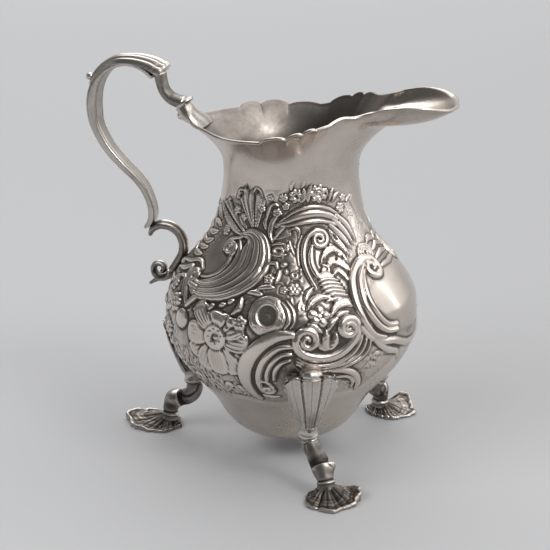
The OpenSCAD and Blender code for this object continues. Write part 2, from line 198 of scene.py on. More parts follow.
def plain_rim(a, v):
    """Outer face of the rim and lip before it is scalloped."""
    z, r, _ = rim_terms(a)
    cos_a, sin_a = np.cos(np.radians(a)), np.sin(np.radians(a))
    e = np.stack([r * cos_a, r * sin_a, z], -1)
    s = np.abs(a) / LIP_ROOT
    k = np.clip(s, 0, 1) * (len(lip_dense) - 1)
    i = np.minimum(k.astype(int), len(lip_dense) - 2)
    p = mix(lip_dense[i], lip_dense[i + 1], (k - i)[:, None])
    p[:, 1] *= np.sign(a)
    e = np.where((s < 1)[:, None], p, e)
    g = v**FLARE
    xy = mix(NECK_R * np.stack([cos_a, sin_a], -1)[None], e[None, :, :2], g[..., None])
    t = np.maximum(np.hypot(xy[..., 0], xy[..., 1]) - NECK_R, 0)
    full = JOIN_Z + (e[None, :, 2] - JOIN_Z) * g**RISE_POWER
    aside = step01(s)[None]
    throat = JOIN_Z + mix(THROAT_MID, THROAT_SIDE, aside) * (t / THROAT_R) ** RISE_POWER
    pan = FLOOR_H + (e[None, :, 2] - FLOOR_H) * np.maximum(g, 1e-9) ** mix(PAN_MID, PAN_SIDE, aside)
    dish = soft_min(throat, pan, PAN_BLEND)
    height = mix(full, dish, step01((1 - s[None]) / LIP_FADE))
    height = np.where(v <= 0, JOIN_Z, height)
    return np.concatenate([xy, height[..., None]], -1)


def rim_points(a, v):
    """The scalloped rim and lip. a is a row of directions in degrees, v a column from 0 to 1."""
    way = unit(plain_rim(a, np.minimum(v + 0.01, 1)) - plain_rim(a, np.maximum(v - 0.01, 0)))
    # Scallops grow along the flare, turned a little towards straight up
    way = unit(0.6 * way + np.array([0, 0, 0.4]))
    share = np.where(a < 0, NEAR_SHARE, 1.0)[None] * step01((v - SCALLOP_FROM) / (1 - SCALLOP_FROM))
    return plain_rim(a, v) + way * (rim_terms(a)[2][None] * share)[..., None]


# ------------------------------------------------------------------ chased relief
# Strokes are laid on a flat chart of the near half of the body, in mm at the belly. x runs round the
# body from the handle (-107) to under the lip (0). y runs up it, from -12 on the plain base, through
# 0 at CHART_ZERO_Z, to 96 on the neck. Relief and stroke heights are in units of DEPTH.
STEP = 0.25
COLS = 430
X0 = -180 * DEG
Y_LOW, Y_TOP = -12.0, 96.0
ROWS = int((Y_TOP - Y_LOW) / STEP) + 1
gx = X0 + (np.arange(COLS) + 0.5) * (-X0 / COLS)
gy = np.linspace(Y_LOW, Y_TOP, ROWS)
GX, GY = np.meshgrid(gx, gy)
relief = np.zeros_like(GX)
plainness = np.ones_like(GX)
# Beyond a stroke's outline: how far it can touch the metal, its groove's width, the worked strip's width
REACHED, GROOVE_W, WORKED_W = 1.6, 0.5, 1.0
# Leaves: spacing of the teeth on their edges and of their veins
TOOTH, VEIN = 1.7, 1.15


def window(points, pad):
    """Rows and columns of the chart round some points, as a pair of slices."""
    pad = pad + REACHED
    lo, hi = points.min(0) - pad, points.max(0) + pad
    c = slice(max(np.searchsorted(gx, lo[0]), 0), min(np.searchsorted(gx, hi[0]) + 1, COLS))
    r = slice(max(np.searchsorted(gy, lo[1]), 0), min(np.searchsorted(gy, hi[1]) + 1, ROWS))
    return r, c


def nearest(w, path):
    """Distance to a path, which side of it (left is positive) and how far along (0 to 1)."""
    q = np.stack([GX[w].ravel(), GY[w].ravel()], -1)
    a, b = path[:-1], path[1:]
    d = b - a
    length = np.maximum((d * d).sum(-1), 1e-9)
    t = np.clip(((q[:, None] - a[None]) * d[None]).sum(-1) / length, 0, 1)
    off = q[:, None] - (a[None] + t[..., None] * d[None])
    dist2 = (off * off).sum(-1)
    k = dist2.argmin(1)
    j = np.arange(len(q))
    side = np.sign(d[k, 0] * off[j, k, 1] - d[k, 1] * off[j, k, 0])
    shape = GX[w].shape
    return np.sqrt(dist2[j, k]).reshape(shape), side.reshape(shape), ((k + t[j, k]) / len(a)).reshape(shape)


def lay(w, inside, height, groove=0.4, edge=0.3):
    """Puts a stroke over what is there. inside is the distance in from its outline."""
    m = step01(inside / edge + 0.5)
    beyond = np.clip(-inside, 0, None)
    cut = groove * bell(beyond, 0, GROOVE_W) * (1 - m)
    relief[w] = mix(relief[w] - cut, height, m)
    plainness[w] = np.minimum(plainness[w], 1 - 0.9 * bell(beyond, 0, WORKED_W))


def band(points, widths, ridges, high=1.0, base=0.1, per=8, groove=0.4):
    """A scroll with ridges side by side: each is (place across, half width, height), from -1 to 1."""
    path = spline(points, per)
    wide = np.atleast_1d(np.asarray(widths, float))
    w = window(path, wide.max())
    d, side, s = nearest(w, path)
    hw = np.interp(s, np.linspace(0, 1, len(wide)), wide)
    u = side * d / hw
    h = np.zeros_like(u)
    for at, half, tall in ridges:
        h = np.maximum(h, tall * round_top((u - at) / half))
    # Narrow stretches stand less high
    fade = 0.35 + 0.65 * step01(hw / 0.9)
    lay(w, hw - d, base + high * fade * h, groove)


def tube(points, widths, high=0.9, base=0.1, per=8, groove=0.4):
    """A stroke with one rounded ridge. widths are half widths, spread evenly along it."""
    band(points, widths, [(0, 1.0, 1.0)], high, base, per, groove)


def curl(cx, cy, r, start, turns, way=1, inner=0.15, n=18):
    """Points of a spiral that runs in to its centre. start in degrees, way +1 anticlockwise."""
    t = np.linspace(0, 1, n)
    a = math.radians(start) + way * turns * 2 * math.pi * t
    rr = r * (1 - t * (1 - inner))
    return [[cx + q * math.cos(b), cy + q * math.sin(b)] for q, b in zip(rr, a)]


def leaf(points, half, ribs=1, high=0.8, notch=0.0, tip=1.2, groove=0.4):
    """A blade: swells from its base and narrows to a tip, with a midrib and slanting veins."""
    path = spline(points, 8)
    w = window(path, half)
    d, side, s = nearest(w, path)
    shape = np.sin(np.pi * np.clip(0.08 + 0.92 * s, 0, 1) ** tip) ** 0.8
    length = np.linalg.norm(np.diff(path, axis=0), axis=1).sum()
    teeth = 1 - notch * (0.5 + 0.5 * np.cos((s * length + 0.5 * d) * 2 * np.pi / TOOTH))
    hw = np.maximum(half * shape * teeth, 0.12)
    u = np.clip(d / hw, 0, 1.4)
    rib = np.abs(np.cos(u * np.pi * 0.5 * (2 * ribs - 1)))
    veins = 0.12 * np.cos((s * length + d * 1.1) * 2 * np.pi / VEIN) * step01(u * 3)
    h = high * (round_top(u) * (0.55 + 0.45 * rib) + veins)
    lay(w, hw - d, 0.1 + h, groove)


def flower(cx, cy, r, petals, turn=0.0, high=0.8, heart=0.3, lines=3):
    """Petals round a domed heart, each with a few fine lines down it."""
    w = window(np.array([[cx, cy]]), r)
    dx, dy = GX[w] - cx, GY[w] - cy
    rr = np.hypot(dx, dy)
    a = np.arctan2(dy, dx) - math.radians(turn)
    c = np.abs(np.cos(a * petals / 2))
    out = r * (0.62 + 0.38 * c**0.6)
    u = rr / out
    body = round_top((u - 0.6) / 0.55) * (0.35 + 0.65 * c**0.5)
    line = 0.14 * np.cos(a * petals * lines) * step01((u - 0.25) * 3)
    q = rr / (r * heart)
    moat = -0.45 * bell(q, 1.12, 0.16)
    lay(w, out - rr, 0.1 + high * (np.maximum(body + line, 0.9 * round_top(q)) + moat), 0.45)


def boss(cx, cy, rx, ry, high=0.8, tilt=0.0, groove=0.45, flat=0.0):
    """A plain rounded bump, or a petal."""
    w = window(np.array([[cx, cy]]), max(rx, ry))
    t = math.radians(tilt)
    dx = (GX[w] - cx) * math.cos(t) + (GY[w] - cy) * math.sin(t)
    dy = -(GX[w] - cx) * math.sin(t) + (GY[w] - cy) * math.cos(t)
    q = np.hypot(dx / rx, dy / ry)
    dome = np.sqrt(np.clip(1 - q ** (2 + 2 * flat), 0, 1))
    lay(w, (1 - q) * min(rx, ry), 0.1 + high * dome, groove)


def rings(cx, cy, radii, sx=1.0, high=0.8, dish=0.6, groove=0.4):
    """Concentric ridges round a dished middle. radii is a list of (radius, half width, height)."""
    big = max(r + h for r, h, _ in radii)
    w = window(np.array([[cx, cy]]), big)
    dx, dy = (GX[w] - cx) / sx, (GY[w] - cy) * sx
    rr = np.hypot(dx, dy)
    h = np.zeros_like(rr)
    for r, half, tall in radii:
        h = np.maximum(h, tall * round_top((rr - r) / half))
    inner = min(r - q for r, q, _ in radii)
    h = np.where(rr < inner, -dish * (1 - (rr / inner) ** 2), h)
    lay(w, big - rr, 0.1 + high * h, groove)


# Upper and lower edges of the chased ground, as (x, y)
TOP_EDGE = [
    (-107, 78), (-97, 78), (-88, 79.5), (-82, 81.5), (-76, 84), (-73, 88.5),
    (-68, 91.5), (-61, 89.5), (-57, 84), (-51, 85.5), (-48, 89), (-42, 93.5),
    (-33, 92), (-25, 90), (-20, 87), (-12, 82), (-6, 72), (0, 64),
]
LOW_EDGE = [
    (-107, 12), (-96, 12), (-84, 10), (-74, 8.5), (-66, 9), (-58, 8), (-50, 7), (-30, 12), (-22, 12.5),
    (-15, 19), (-8, 25), (0, 26),
]


def ground():
    """How far the chasing covers each place: 1 on the chased ground, 0 on plain metal."""
    top, low = (np.interp(gx, *zip(*edge))[None] for edge in (TOP_EDGE, LOW_EDGE))
    return step01((top - GY) / 3.0 + 0.3) * step01((GY - low) / 3.0 + 0.3)
PLAIN_LEVEL = 0.42  # plain metal stands this much above the chased ground
chased = ground()
relief[:] = PLAIN_LEVEL * (1 - chased)
plainness[:] = 1 - chased * 0.8

# Fine busy chasing on the ground, between the larger shapes
GROUND_MARKS, GRASS_BLADES, LIMB_LEAVES, RIPPLES, SCALES = 900, 64, 30, 22, 26
for _ in range(GROUND_MARKS):
    x, y = rng.uniform(-106, -3), rng.uniform(10, 90)
    a, length, bend = rng.uniform(0, math.pi), rng.uniform(1.2, 3.4), rng.uniform(-0.9, 0.9)
    wide, high = rng.uniform(0.22, 0.42), rng.uniform(0.12, 0.38)
    i = min(max(int((y - Y_LOW) / STEP), 0), ROWS - 1)
    j = min(max(int((x - X0) / (-X0 / COLS)), 0), COLS - 1)
    if chased[i, j] < 0.9:
        continue
    pts = [
        [x + length * t * math.cos(a) - bend * (t * t) * length * math.sin(a),
         y + length * t * math.sin(a) + bend * (t * t) * length * math.cos(a)]
        for t in (-0.5, 0, 0.5)
    ]
    tube(pts, [0.12, wide, 0.12], high, 0.03, per=3, groove=0.12)

# Lower border: ripples and loops, then grass strokes down from the big flower
for x, y, r in [
    (-70.6, 12.2, 3.4), (-64.4, 14.0, 2.2), (-60.8, 13.6, 2.0), (-77.4, 13.4, 3.2),
    (-84, 15.2, 3.2), (-90.6, 15.8, 3.2), (-97.2, 15.6, 3.2), (-103.6, 15.6, 3.0),
]:
    tube([[x - r, y - 1.36 * r], [x - r * 0.8, y], [x, y + r * 0.9], [x + r * 0.8, y], [x + r, y - r * 1.2]],
         [0.3, 0.7, 0.8, 0.7, 0.3], 0.55)
    tube([[x - r * 0.5, y - r * 0.9], [x, y + r * 0.15], [x + r * 0.45, y - r * 0.9]],
         [0.25, 0.5, 0.25], 0.45)
for _ in range(GRASS_BLADES):
    f = rng.uniform(0, 1)
    x = -88 + 31 * f
    y = rng.uniform(13.5, 26.5) - 1.5 * math.sin(math.pi * f)
    lean = mix(-2.6, 1.6, f) + rng.uniform(-0.8, 0.8)
    n = rng.uniform(2.4, 5.0)
    wob = rng.uniform(-0.7, 0.7)
    tube([[x, y + n * 0.5], [x + lean * 0.3 + wob, y + n * 0.15], [x + lean * 0.6 - wob, y - n * 0.2],
          [x + lean, y - n * 0.5]],
         [0.15, 0.42, 0.42, 0.15], rng.uniform(0.25, 0.5), 0.02, groove=0.28)
for _ in range(LIMB_LEAVES):
    x, y = rng.uniform(-106, -84), rng.uniform(14, 36)
    a = math.radians(rng.uniform(150, 210))
    n = rng.uniform(3, 6)
    leaf([[x, y], [x + 0.45 * n * math.cos(a), y + 0.5 * n * math.sin(a)],
          [x + n * math.cos(a), y + n * math.sin(a) - 0.6]],
         rng.uniform(0.5, 0.9), 1, 0.5, 0.1, groove=0.3)
for _ in range(RIPPLES):
    x, y, r = rng.uniform(-100, -58), rng.uniform(10.5, 17.5), rng.uniform(0.8, 1.5)
    tube([[x - r, y - r], [x - r * 0.8, y + r * 0.3], [x, y + r], [x + r * 0.8, y + r * 0.3],
          [x + r * 0.9, y - r]],
         [0.12, 0.34, 0.36, 0.34, 0.12], 0.35, 0.02, groove=0.22)

# Leaf fronds towards the handle
for x, y, dx, dy, h in [
    (-84, 70.5, -9, 4.5, 1.5), (-83, 67.5, -10, 1.0, 1.3), (-84, 64.5, -10, -1.8, 1.4),
    (-85, 60.8, -9, -2.6, 1.3),
    (-86, 57, -9, -1.5, 1.2), (-87, 53.5, -10, -1.0, 1.2), (-91, 69, -9, 3.0, 1.5), (-92, 64, -9, 1.0, 1.5),
    (-93, 59, -9, -1.0, 1.4), (-96, 53, -9, 0.5, 1.4), (-96, 74, -9, 2.0, 1.5), (-96, 47, -9, -1.5, 1.3),
    (-95, 41, -9, -1.5, 1.4), (-94, 35, -10, -2.0, 1.5), (-94, 29, -9, -2.5, 1.4),
]:
    leaf([[x, y], [x + dx * 0.45, y + dy * 0.7], [x + dx, y + dy]], h, 2, 0.75, 0.15)

# Plume above the big scroll
for pts, half in [
    ([[-60.5, 71], [-59.6, 78], [-58.6, 83.5], [-59.4, 86]], 1.3),
    ([[-63, 70.5], [-67.6, 77.5], [-71.2, 83.4], [-73.2, 84.4], [-73.4, 82.2]], 1.5),
    ([[-62.6, 71], [-66.4, 79], [-68.6, 86], [-68.2, 90]], 1.7),
    ([[-61.4, 71], [-61.2, 79], [-60.6, 85.5], [-61.6, 88.8]], 1.9),
    ([[-62.2, 71], [-64.4, 79.5], [-65.2, 85], [-64.6, 88.2]], 1.4),
]:
    leaf(pts, half, 2, 0.95, 0.0, 1.5)
for x, y, r in [(-68.1, 88.9, 1.0), (-61.7, 87.4, 1.1), (-71.8, 84.2, 1.2), (-64.5, 87.4, 0.6)]:
    boss(x, y, r, r, -0.55, groove=0.0)
tube([[-74.6, 82.6], [-73.6, 86.2], [-71, 87.2], [-69.4, 86.2]], [0.4, 0.6, 0.6, 0.3], 0.6)
tube([[-64.2, 87], [-62.6, 89.4], [-60, 88.4], [-58.8, 85.6]], [0.3, 0.55, 0.55, 0.3], 0.6)
leaf([[-66, 67.4], [-71, 71.6], [-77, 75.7], [-82.6, 78.4], [-85.2, 78]], 1.7, 1, 1.1, 0.0, 1.25)
leaf([[-76.6, 76.8], [-79.6, 79.6], [-81, 80.6], [-80.4, 78.9]], 1.4, 1, 0.8, 0.0)
boss(-84.4, 79.3, 0.9, 0.8, -0.5, groove=0.0)
boss(-79.2, 80.2, 0.8, 0.6, -0.5, groove=0.0)
leaf([[-66.5, 66.2], [-74, 69.2], [-80.4, 72.6], [-88.6, 77.4]], 2.0, 2, 0.95, 0.22, 1.2)
flower(-77.6, 66.9, 2.4, 6, 10, 0.75)
flower(-73.2, 77.2, 2.3, 5, 40, 0.75)
flower(-68.6, 74.4, 2.0, 5, 0, 0.7)
leaf([[-65.6, 69.5], [-68.5, 72], [-71.5, 74.6]], 1.0, 1, 0.6)

# Big left scroll and its dark hollow
hollow = window(np.array([[-84.0, 42.0], [-62.0, 66.0]]), 0.5 - REACHED)
sink = 1 - np.hypot((GX[hollow] + 74.2) / 8.6, (GY[hollow] - 54.4) / 9.6)
lay(hollow, sink * 8, -0.1 - 0.3 * step01(sink * 1.6), groove=0.15, edge=1.6)
band(
    [[-67.5, 66.6], [-63, 67.3], [-60, 64.5], [-59.2, 60], [-59.5, 55], [-61.8, 50.2], [-66, 46.2],
     [-71, 44.0], [-76, 43.2], [-80.4, 44.2]],
    [0.7, 2.9, 5.2, 6.5, 6.5, 5.4, 4.1, 3.1, 2.6, 1.7],
    [(0.86, 0.15, 0.75), (0.5, 0.2, 1.0), (0.05, 0.24, 0.85), (-0.36, 0.16, 0.7), (-0.74, 0.24, 1.15)],
    1.15,
)
tube([[-68, 64.6], [-66.6, 60.6], [-66.4, 55.8], [-68.4, 50.8], [-72.2, 47.3], [-77, 45.6]],
     [0.4, 1.0, 1.35, 1.2, 0.9, 0.4], 0.85)
tube([[-78.4, 47.2], [-75, 47.9], [-71.7, 50.2], [-70, 53.6], [-69.7, 57.4]]
     + curl(-71.7, 60.3, 3.2, -50, 1.75, 1),
     [0.3, 0.7, 0.9, 0.9, 0.85, 0.8, 0.7, 0.6], 1.0)
tube([[-66.4, 66.2], [-69.5, 64.9], [-72.6, 63.9], [-74.8, 61.2], [-74.7, 58.8]],
     [0.5, 0.75, 0.8, 0.7, 0.4], 1.0)
tube([[-77, 43.4]] + curl(-81.5, 46.4, 2.9, -70, 1.7, -1), [0.8, 1.0, 0.9, 0.8, 0.7, 0.6], 1.0)
tube([[-98, 44.4], [-91, 46.4], [-86.6, 48.6], [-84.8, 45.6], [-81.6, 41.4], [-78.4, 37.4]],
     [0.5, 0.9, 0.9, 0.9, 0.8, 0.4], 0.8)
tube([[-98, 47.6], [-91, 49.4], [-86, 51.6], [-82.6, 51.4], [-79.6, 49.4]], [0.5, 0.8, 0.8, 0.7, 0.4], 0.75)
tube([[-94, 41.8], [-88.6, 44.4], [-85.6, 44.0], [-82.4, 39.6]], [0.4, 0.7, 0.7, 0.4], 0.6)

# Flowers on the left limb
flower(-84.3, 37.0, 2.9, 6, 15, 0.85)
boss(-79.6, 33.6, 3.0, 2.7, 0.75, 20, flat=0.6)
boss(-89.6, 31.4, 1.0, 1.4, -0.4, groove=0.0)
leaf([[-78.6, 37.0], [-76.8, 39.8], [-74.6, 41.2]], 1.0)
flower(-90.5, 41.5, 2.6, 6, 0, 0.7)

# Big flower: long striped petals round a beaded heart
bx, by = -65.8, 31.6
PETALS_FROM = 2.6


def petal(cx, cy, ang, r0, r1, half, lines, high=0.7, sag=0.25):
    """A petal with fine lines running down it from the heart to its rounded end."""
    c, s = math.cos(math.radians(ang)), math.sin(math.radians(ang))
    w = window(np.array([[cx + r0 * c, cy + r0 * s], [cx + r1 * c, cy + r1 * s]]), half)
    p = (GX[w] - cx) * c + (GY[w] - cy) * s
    q = -(GX[w] - cx) * s + (GY[w] - cy) * c
    t = np.clip((p - r0) / (r1 - r0), 0, 1)
    hw = half * (0.32 + 0.68 * np.sin(math.pi * np.clip(0.15 + 0.62 * t, 0, 1)) ** 1.2)
    end = half * 0.75
    past = np.clip(p - (r1 - end), 0, None) / end
    inside = np.minimum(hw - np.abs(q), (1 - np.hypot(past, np.abs(q) / hw * 0.75)) * end)
    inside = np.minimum(inside, p - r0)
    u = q / hw
    h = high * (0.55 + 0.45 * t - sag * (1 - u * u) * (0.4 + 0.6 * t))
    h = h + 0.2 * high * np.cos(u * lines * math.pi) * step01(p - r0 + 0.4) * step01((1.02 - t) * 4)
    h = h + 0.16 * bell(inside, 0.45, 0.35)
    lay(w, inside, 0.05 + h, groove=0.45)


for ang, r1, half, lines in [
    (-146, 10.6, 2.7, 5), (-30, 11.2, 2.8, 5), (-116, 11.8, 2.9, 5), (-58, 12.0, 2.9, 5), (-87, 11.4, 3.0, 6),
    (-4, 10.0, 2.8, 5), (26, 9.2, 2.4, 4),
]:
    petal(bx, by, ang, PETALS_FROM, r1, half, lines)
petal(bx, by, 58, PETALS_FROM, 7.6, 2.2, 4)
petal(bx - 0.4, by, 90, PETALS_FROM, 7.2, 3.4, 0, 0.8, 0.1)
petal(bx, by, 180, PETALS_FROM, 9.9, 3.1, 0, 0.75, 0.15)
for y, x in [(33.2, -73.2), (32.4, -72.4), (31.2, -73)]:
    tube([[x - 1, y], [x, y + 0.1], [x + 0.9, y - 0.2]], [0.1, 0.22, 0.1], -0.12, 0.6, groove=0.0)
petal(bx, by, 132, 3.2, 11.2, 2.6, 5, 1.0, -0.1)
tube([[-74.6, 37.4], [-72.6, 39.2], [-70.2, 39.6], [-68.8, 38.2]], [0.3, 0.6, 0.6, 0.3], 0.8)
boss(-60.9, 36.4, 1.7, 1.4, 0.65, 0)
rings(bx, by, [(3.05, 0.38, 0.75), (2.0, 1.2, 0.95)], high=0.95, dish=-0.3)
boss(bx + 0.4, by + 0.1, 0.9, 0.7, 1.15, 30, groove=0.25)
for k in range(8):
    a = math.radians(k * 45 + 10)
    boss(bx + 2.0 * math.cos(a), by + 2.0 * math.sin(a), 0.45, 0.55, 1.0, math.degrees(a), groove=0.18)

# Small things above it
for x, y, t in [(-65, 40.8, 30), (-62.6, 42.2, 40), (-68.4, 39.6, 70), (-59.2, 40.6, 80)]:
    boss(x, y, 1.2, 0.6, 0.7, t)
flower(-58.6, 36.6, 2.0, 5, 20, 0.7)
leaf([[-61.4, 38.4], [-59.6, 40.8], [-59.4, 44]], 0.8)

# Field between the scrolls
tube([[-55.2, 54.4], [-53, 56.6], [-50.4, 56.9], [-49.6, 55.2]], [0.3, 0.6, 0.7, 0.5], 0.6)
flower(-52.0, 50.9, 1.9, 5, 15, 0.8)
leaf([[-49.6, 49.4], [-49.0, 52], [-48.6, 54.6]], 0.9, 1, 0.85)
flower(-43.7, 47.6, 2.2, 6, 0, 0.85)
flower(-46.9, 47.2, 1.3, 5, 0, 0.7)
rings(-43.4, 52.3, [(1.0, 0.4, 0.8)], high=0.8, dish=0.3)
boss(-47.4, 56.4, 1.3, 0.9, 0.75, 10)
boss(-46.4, 53.9, 0.6, 1.0, 0.7, 10)
rings(-49.8, 61.9, [(1.6, 0.5, 0.9)], sx=1.25, high=0.8, dish=0.4)
tube([[-52.6, 64.2], [-49.6, 64.8], [-47, 64.4]], [0.3, 0.5, 0.3], 0.6)
tube([[-52.4, 60.2], [-49.6, 59.9], [-46.8, 60.4]], [0.3, 0.5, 0.3], 0.6)
flower(-46.3, 63.2, 1.5, 5, 0, 0.7)
tube([[-45.4, 66], [-44.6, 63.2], [-43.4, 60.4]], [0.2, 0.5, 0.3], 0.7)
leaf([[-55.6, 47], [-52.4, 48.2], [-50, 48]], 0.9, 1, 0.6)
leaf([[-58, 45.6], [-55.6, 46], [-53.2, 45.2]], 0.9, 1, 0.6)
for k in range(5):
    tube([[-52.6, 66 + k * 0.9], [-48.4, 67.6 + k * 0.9], [-44.8, 68.6 + k * 0.7]], [0.2, 0.45, 0.2], 0.45)

# Ring boss
rings(-51.1, 39.3, [(5.2, 0.3, 0.42), (4.55, 0.3, 0.6), (3.95, 0.28, 0.7), (3.3, 0.34, 0.95)],
      sx=0.95, high=0.85, dish=0.32, groove=0.3)
tube([[-54.4, 36.6], [-55.2, 39.2], [-54.2, 41.8], [-52, 43.4]],
     [0.15, 0.3, 0.3, 0.15], 0.35, 0.55, groove=0.1)
boss(-51.6, 38.6, 1.3, 0.9, -0.2, 30, groove=0.05)
tube([[-47.2, 43.2], [-45.6, 40.8], [-45.2, 37.8], [-46.6, 35.4]], [0.25, 0.6, 0.6, 0.25], 0.75)
tube([[-46, 43.8], [-44.2, 41], [-43.9, 37.8], [-45, 35.6]], [0.15, 0.35, 0.35, 0.15], 0.45)

# Lozenge leaves and stems up the middle
tube([[-56.2, 70.8], [-57, 73.6], [-56.2, 76], [-55.6, 79], [-54.6, 81.3], [-52.6, 82.4], [-50.8, 81.4]],
     [0.4, 0.9, 0.6, 0.9, 0.8, 0.6, 0.3], 0.95)
leaf([[-52.6, 65.4], [-54.2, 69], [-53.6, 73], [-51.6, 76.6], [-48.8, 78]], 1.3, 1, 0.95, 0.0, 1.1)
leaf([[-52.2, 66.2], [-50.6, 69.4], [-47.6, 72.8], [-44.8, 74.6]], 1.2, 1, 0.85, 0.0, 1.1)
boss(-52.4, 69.0, 0.9, 1.3, -0.3, 20, groove=0.0)
boss(-51.0, 72.6, 1.4, 1.2, 0.5, 20)
flower(-51.4, 78.4, 2.1, 5, 0, 0.8)
flower(-54.6, 85.4, 1.7, 5, 0, 0.5)
for x, y, r in [(-48.4, 85.4, 2.2), (-47.2, 81.4, 1.9), (-58.6, 79.4, 1.4)]:
    flower(x, y, r, 5, 30 * x, 0.75)

# Arch of three ridges
band(
    [[-50.4, 73.2], [-46.4, 74.4], [-41.4, 76.4], [-36, 77.4], [-30.8, 77.3], [-26.2, 75.9], [-22.2, 73.6]],
    [0.7, 2.7, 4.0, 4.4, 4.3, 3.9, 3.0],
    [(0.79, 0.21, 0.95), (0.06, 0.4, 1.1), (-0.76, 0.24, 1.0)],
    1.2,
)
tube([[-47.6, 76.2], [-44.8, 78.0], [-42.8, 79.4]], [0.2, 0.6, 0.3], 0.7)
tube([[-45.4, 70.6], [-42.6, 71.6], [-41.2, 70.4], [-41.4, 67.2]], [0.3, 0.7, 0.7, 0.3], 0.8)

# Scroll hung under the arch
tube([[-41.6, 56], [-42, 60], [-41.6, 64.2], [-40, 68]], [0.3, 0.5, 0.6, 0.3], 0.7)
tube([[-31, 50.6], [-33.6, 50.8], [-35.6, 52.6], [-36.8, 56], [-36.8, 60], [-35.6, 64]],
     [0.3, 0.8, 1.05, 1.1, 1.05, 0.5], 1.1)
tube(
    [[-36.7, 47.4], [-38.4, 51.6], [-39.6, 56], [-39.7, 60.2], [-39, 64.2], [-37.2, 67.6]]
    + curl(-32.3, 66.1, 4.1, 128, 1.75, -1, 0.18, 22),
    [0.5, 1.1, 1.25, 1.3, 1.25, 1.15, 1.1, 1.0, 0.95, 0.85, 0.8, 0.7], 1.25,
)

# Flower heads above the arch
flower(-42.4, 86.4, 3.4, 7, 0, 0.85)
rings(-42.2, 86.2, [(1.5, 0.5, 0.9)], high=0.7, dish=0.5)
leaf([[-40, 83.2], [-38.2, 86], [-38.6, 90]], 1.4, 2, 0.9)
leaf([[-44.6, 89], [-44.4, 92], [-42.6, 94.4]], 1.0, 1, 0.8)
leaf([[-39.4, 90.4], [-38.4, 92.6], [-38.8, 95]], 1.0, 1, 0.8)
leaf([[-36.4, 83.4], [-36, 87.4], [-34.4, 92.4]], 1.4, 2, 0.85)
flower(-31.0, 87.0, 4.6, 7, 20, 0.85, 0.34, 2)
tube(curl(-31.0, 87.0, 2.6, 40, 1.5, 1), [0.5, 0.5, 0.4], 1.2)
tube([[-27.6, 83.8], [-26.2, 86.2], [-26.6, 89]], [0.3, 0.7, 0.4], 0.7)
leaf([[-26, 82.4], [-24.4, 85.4], [-22.4, 88.8]], 1.2, 1, 0.8)
leaf([[-23.6, 82.2], [-21.6, 84.6], [-18.8, 86.4]], 1.1, 1, 0.7)
flower(-18.8, 78.6, 2.8, 6, 0, 0.75)
flower(-16.6, 83.0, 2.0, 5, 20, 0.6)
boss(-16.1, 78.1, 0.9, 1.1, -0.5, groove=0.0)
leaf([[-14.6, 80.6], [-12.4, 82.4], [-10.2, 83.6]], 1.0, 1, 0.6)

# Feathered wing right of the scroll
for pts, half, hi in [
    ([[-22.4, 75.8], [-18.4, 72.4], [-15.6, 68.4], [-14, 62.6]], 1.5, 0.95),
    ([[-24.8, 74.6], [-20.4, 70.2], [-17.6, 65.8], [-16.2, 61.4]], 1.5, 0.9),
    ([[-26.4, 72], [-22.8, 68.2], [-19.8, 64], [-18, 59.8]], 1.5, 0.95),
    ([[-27, 69.6], [-24.6, 65.6], [-22.2, 61.8], [-20.2, 57.6]], 1.5, 0.9),
    ([[-28, 63.6], [-25.8, 61], [-23.6, 58.2], [-22, 55]], 1.4, 0.85),
]:
    leaf(pts, half, 2, hi, 0.06, 1.0)
boss(-24.7, 66.2, 0.8, 1.7, -0.5, 30, groove=0.0)
leaf([[-33.4, 56.4], [-30.4, 60.6], [-27, 61.6], [-24.6, 59.4]], 1.6, 2, 0.95, 0.1)
leaf([[-31.4, 54.4], [-28.4, 57.2], [-25, 55.4], [-22.4, 51.4]], 1.9, 2, 0.85, 0.15)
leaf([[-30, 51.6], [-27.6, 53.2], [-25.8, 51], [-24.8, 48]], 1.3, 1, 0.8)
for x, y, a in [(-32.1, 57.6, 70), (-26.8, 57.6, 60), (-24.2, 57.5, 80)]:
    boss(x, y, 1.0, 0.5, -0.4, a, groove=0.0)
tube(curl(-32.4, 53.8, 1.9, 100, 1.2, -1), [0.5, 0.6, 0.5], 0.8)
band([[-32.6, 51.2], [-32, 48.8], [-31, 46.2], [-29.6, 43.6]], [2.6, 3.0, 3.2, 2.8],
     [(0.0, 1.0, 0.55)], 0.9, 0.15)
for k in range(6):
    y = 50.2 - k * 1.35
    tube([[-35.4 + 0.25 * k, y - 0.2], [-32.4 + 0.3 * k, y + 0.3], [-28.8 + 0.35 * k, y - 0.5]],
         [0.35, 0.5, 0.3], 0.85, 0.35)
leaf([[-40.2, 41], [-38.4, 43.6], [-35.6, 44.8], [-32.6, 44]], 1.1, 2, 0.8)
leaf([[-40.6, 43.4], [-39.6, 46], [-37.6, 48]], 0.9, 1, 0.7)
flower(-37.0, 38.9, 3.2, 5, 10, 0.75, 0.22, 1)
leaf([[-33.8, 38.6], [-31.6, 41.4], [-28.6, 42.2], [-26.6, 40.6]], 1.4, 2, 0.85, 0.1)
leaf([[-33.6, 37], [-30.8, 39.2], [-27.8, 39.4]], 0.9, 1, 0.7)

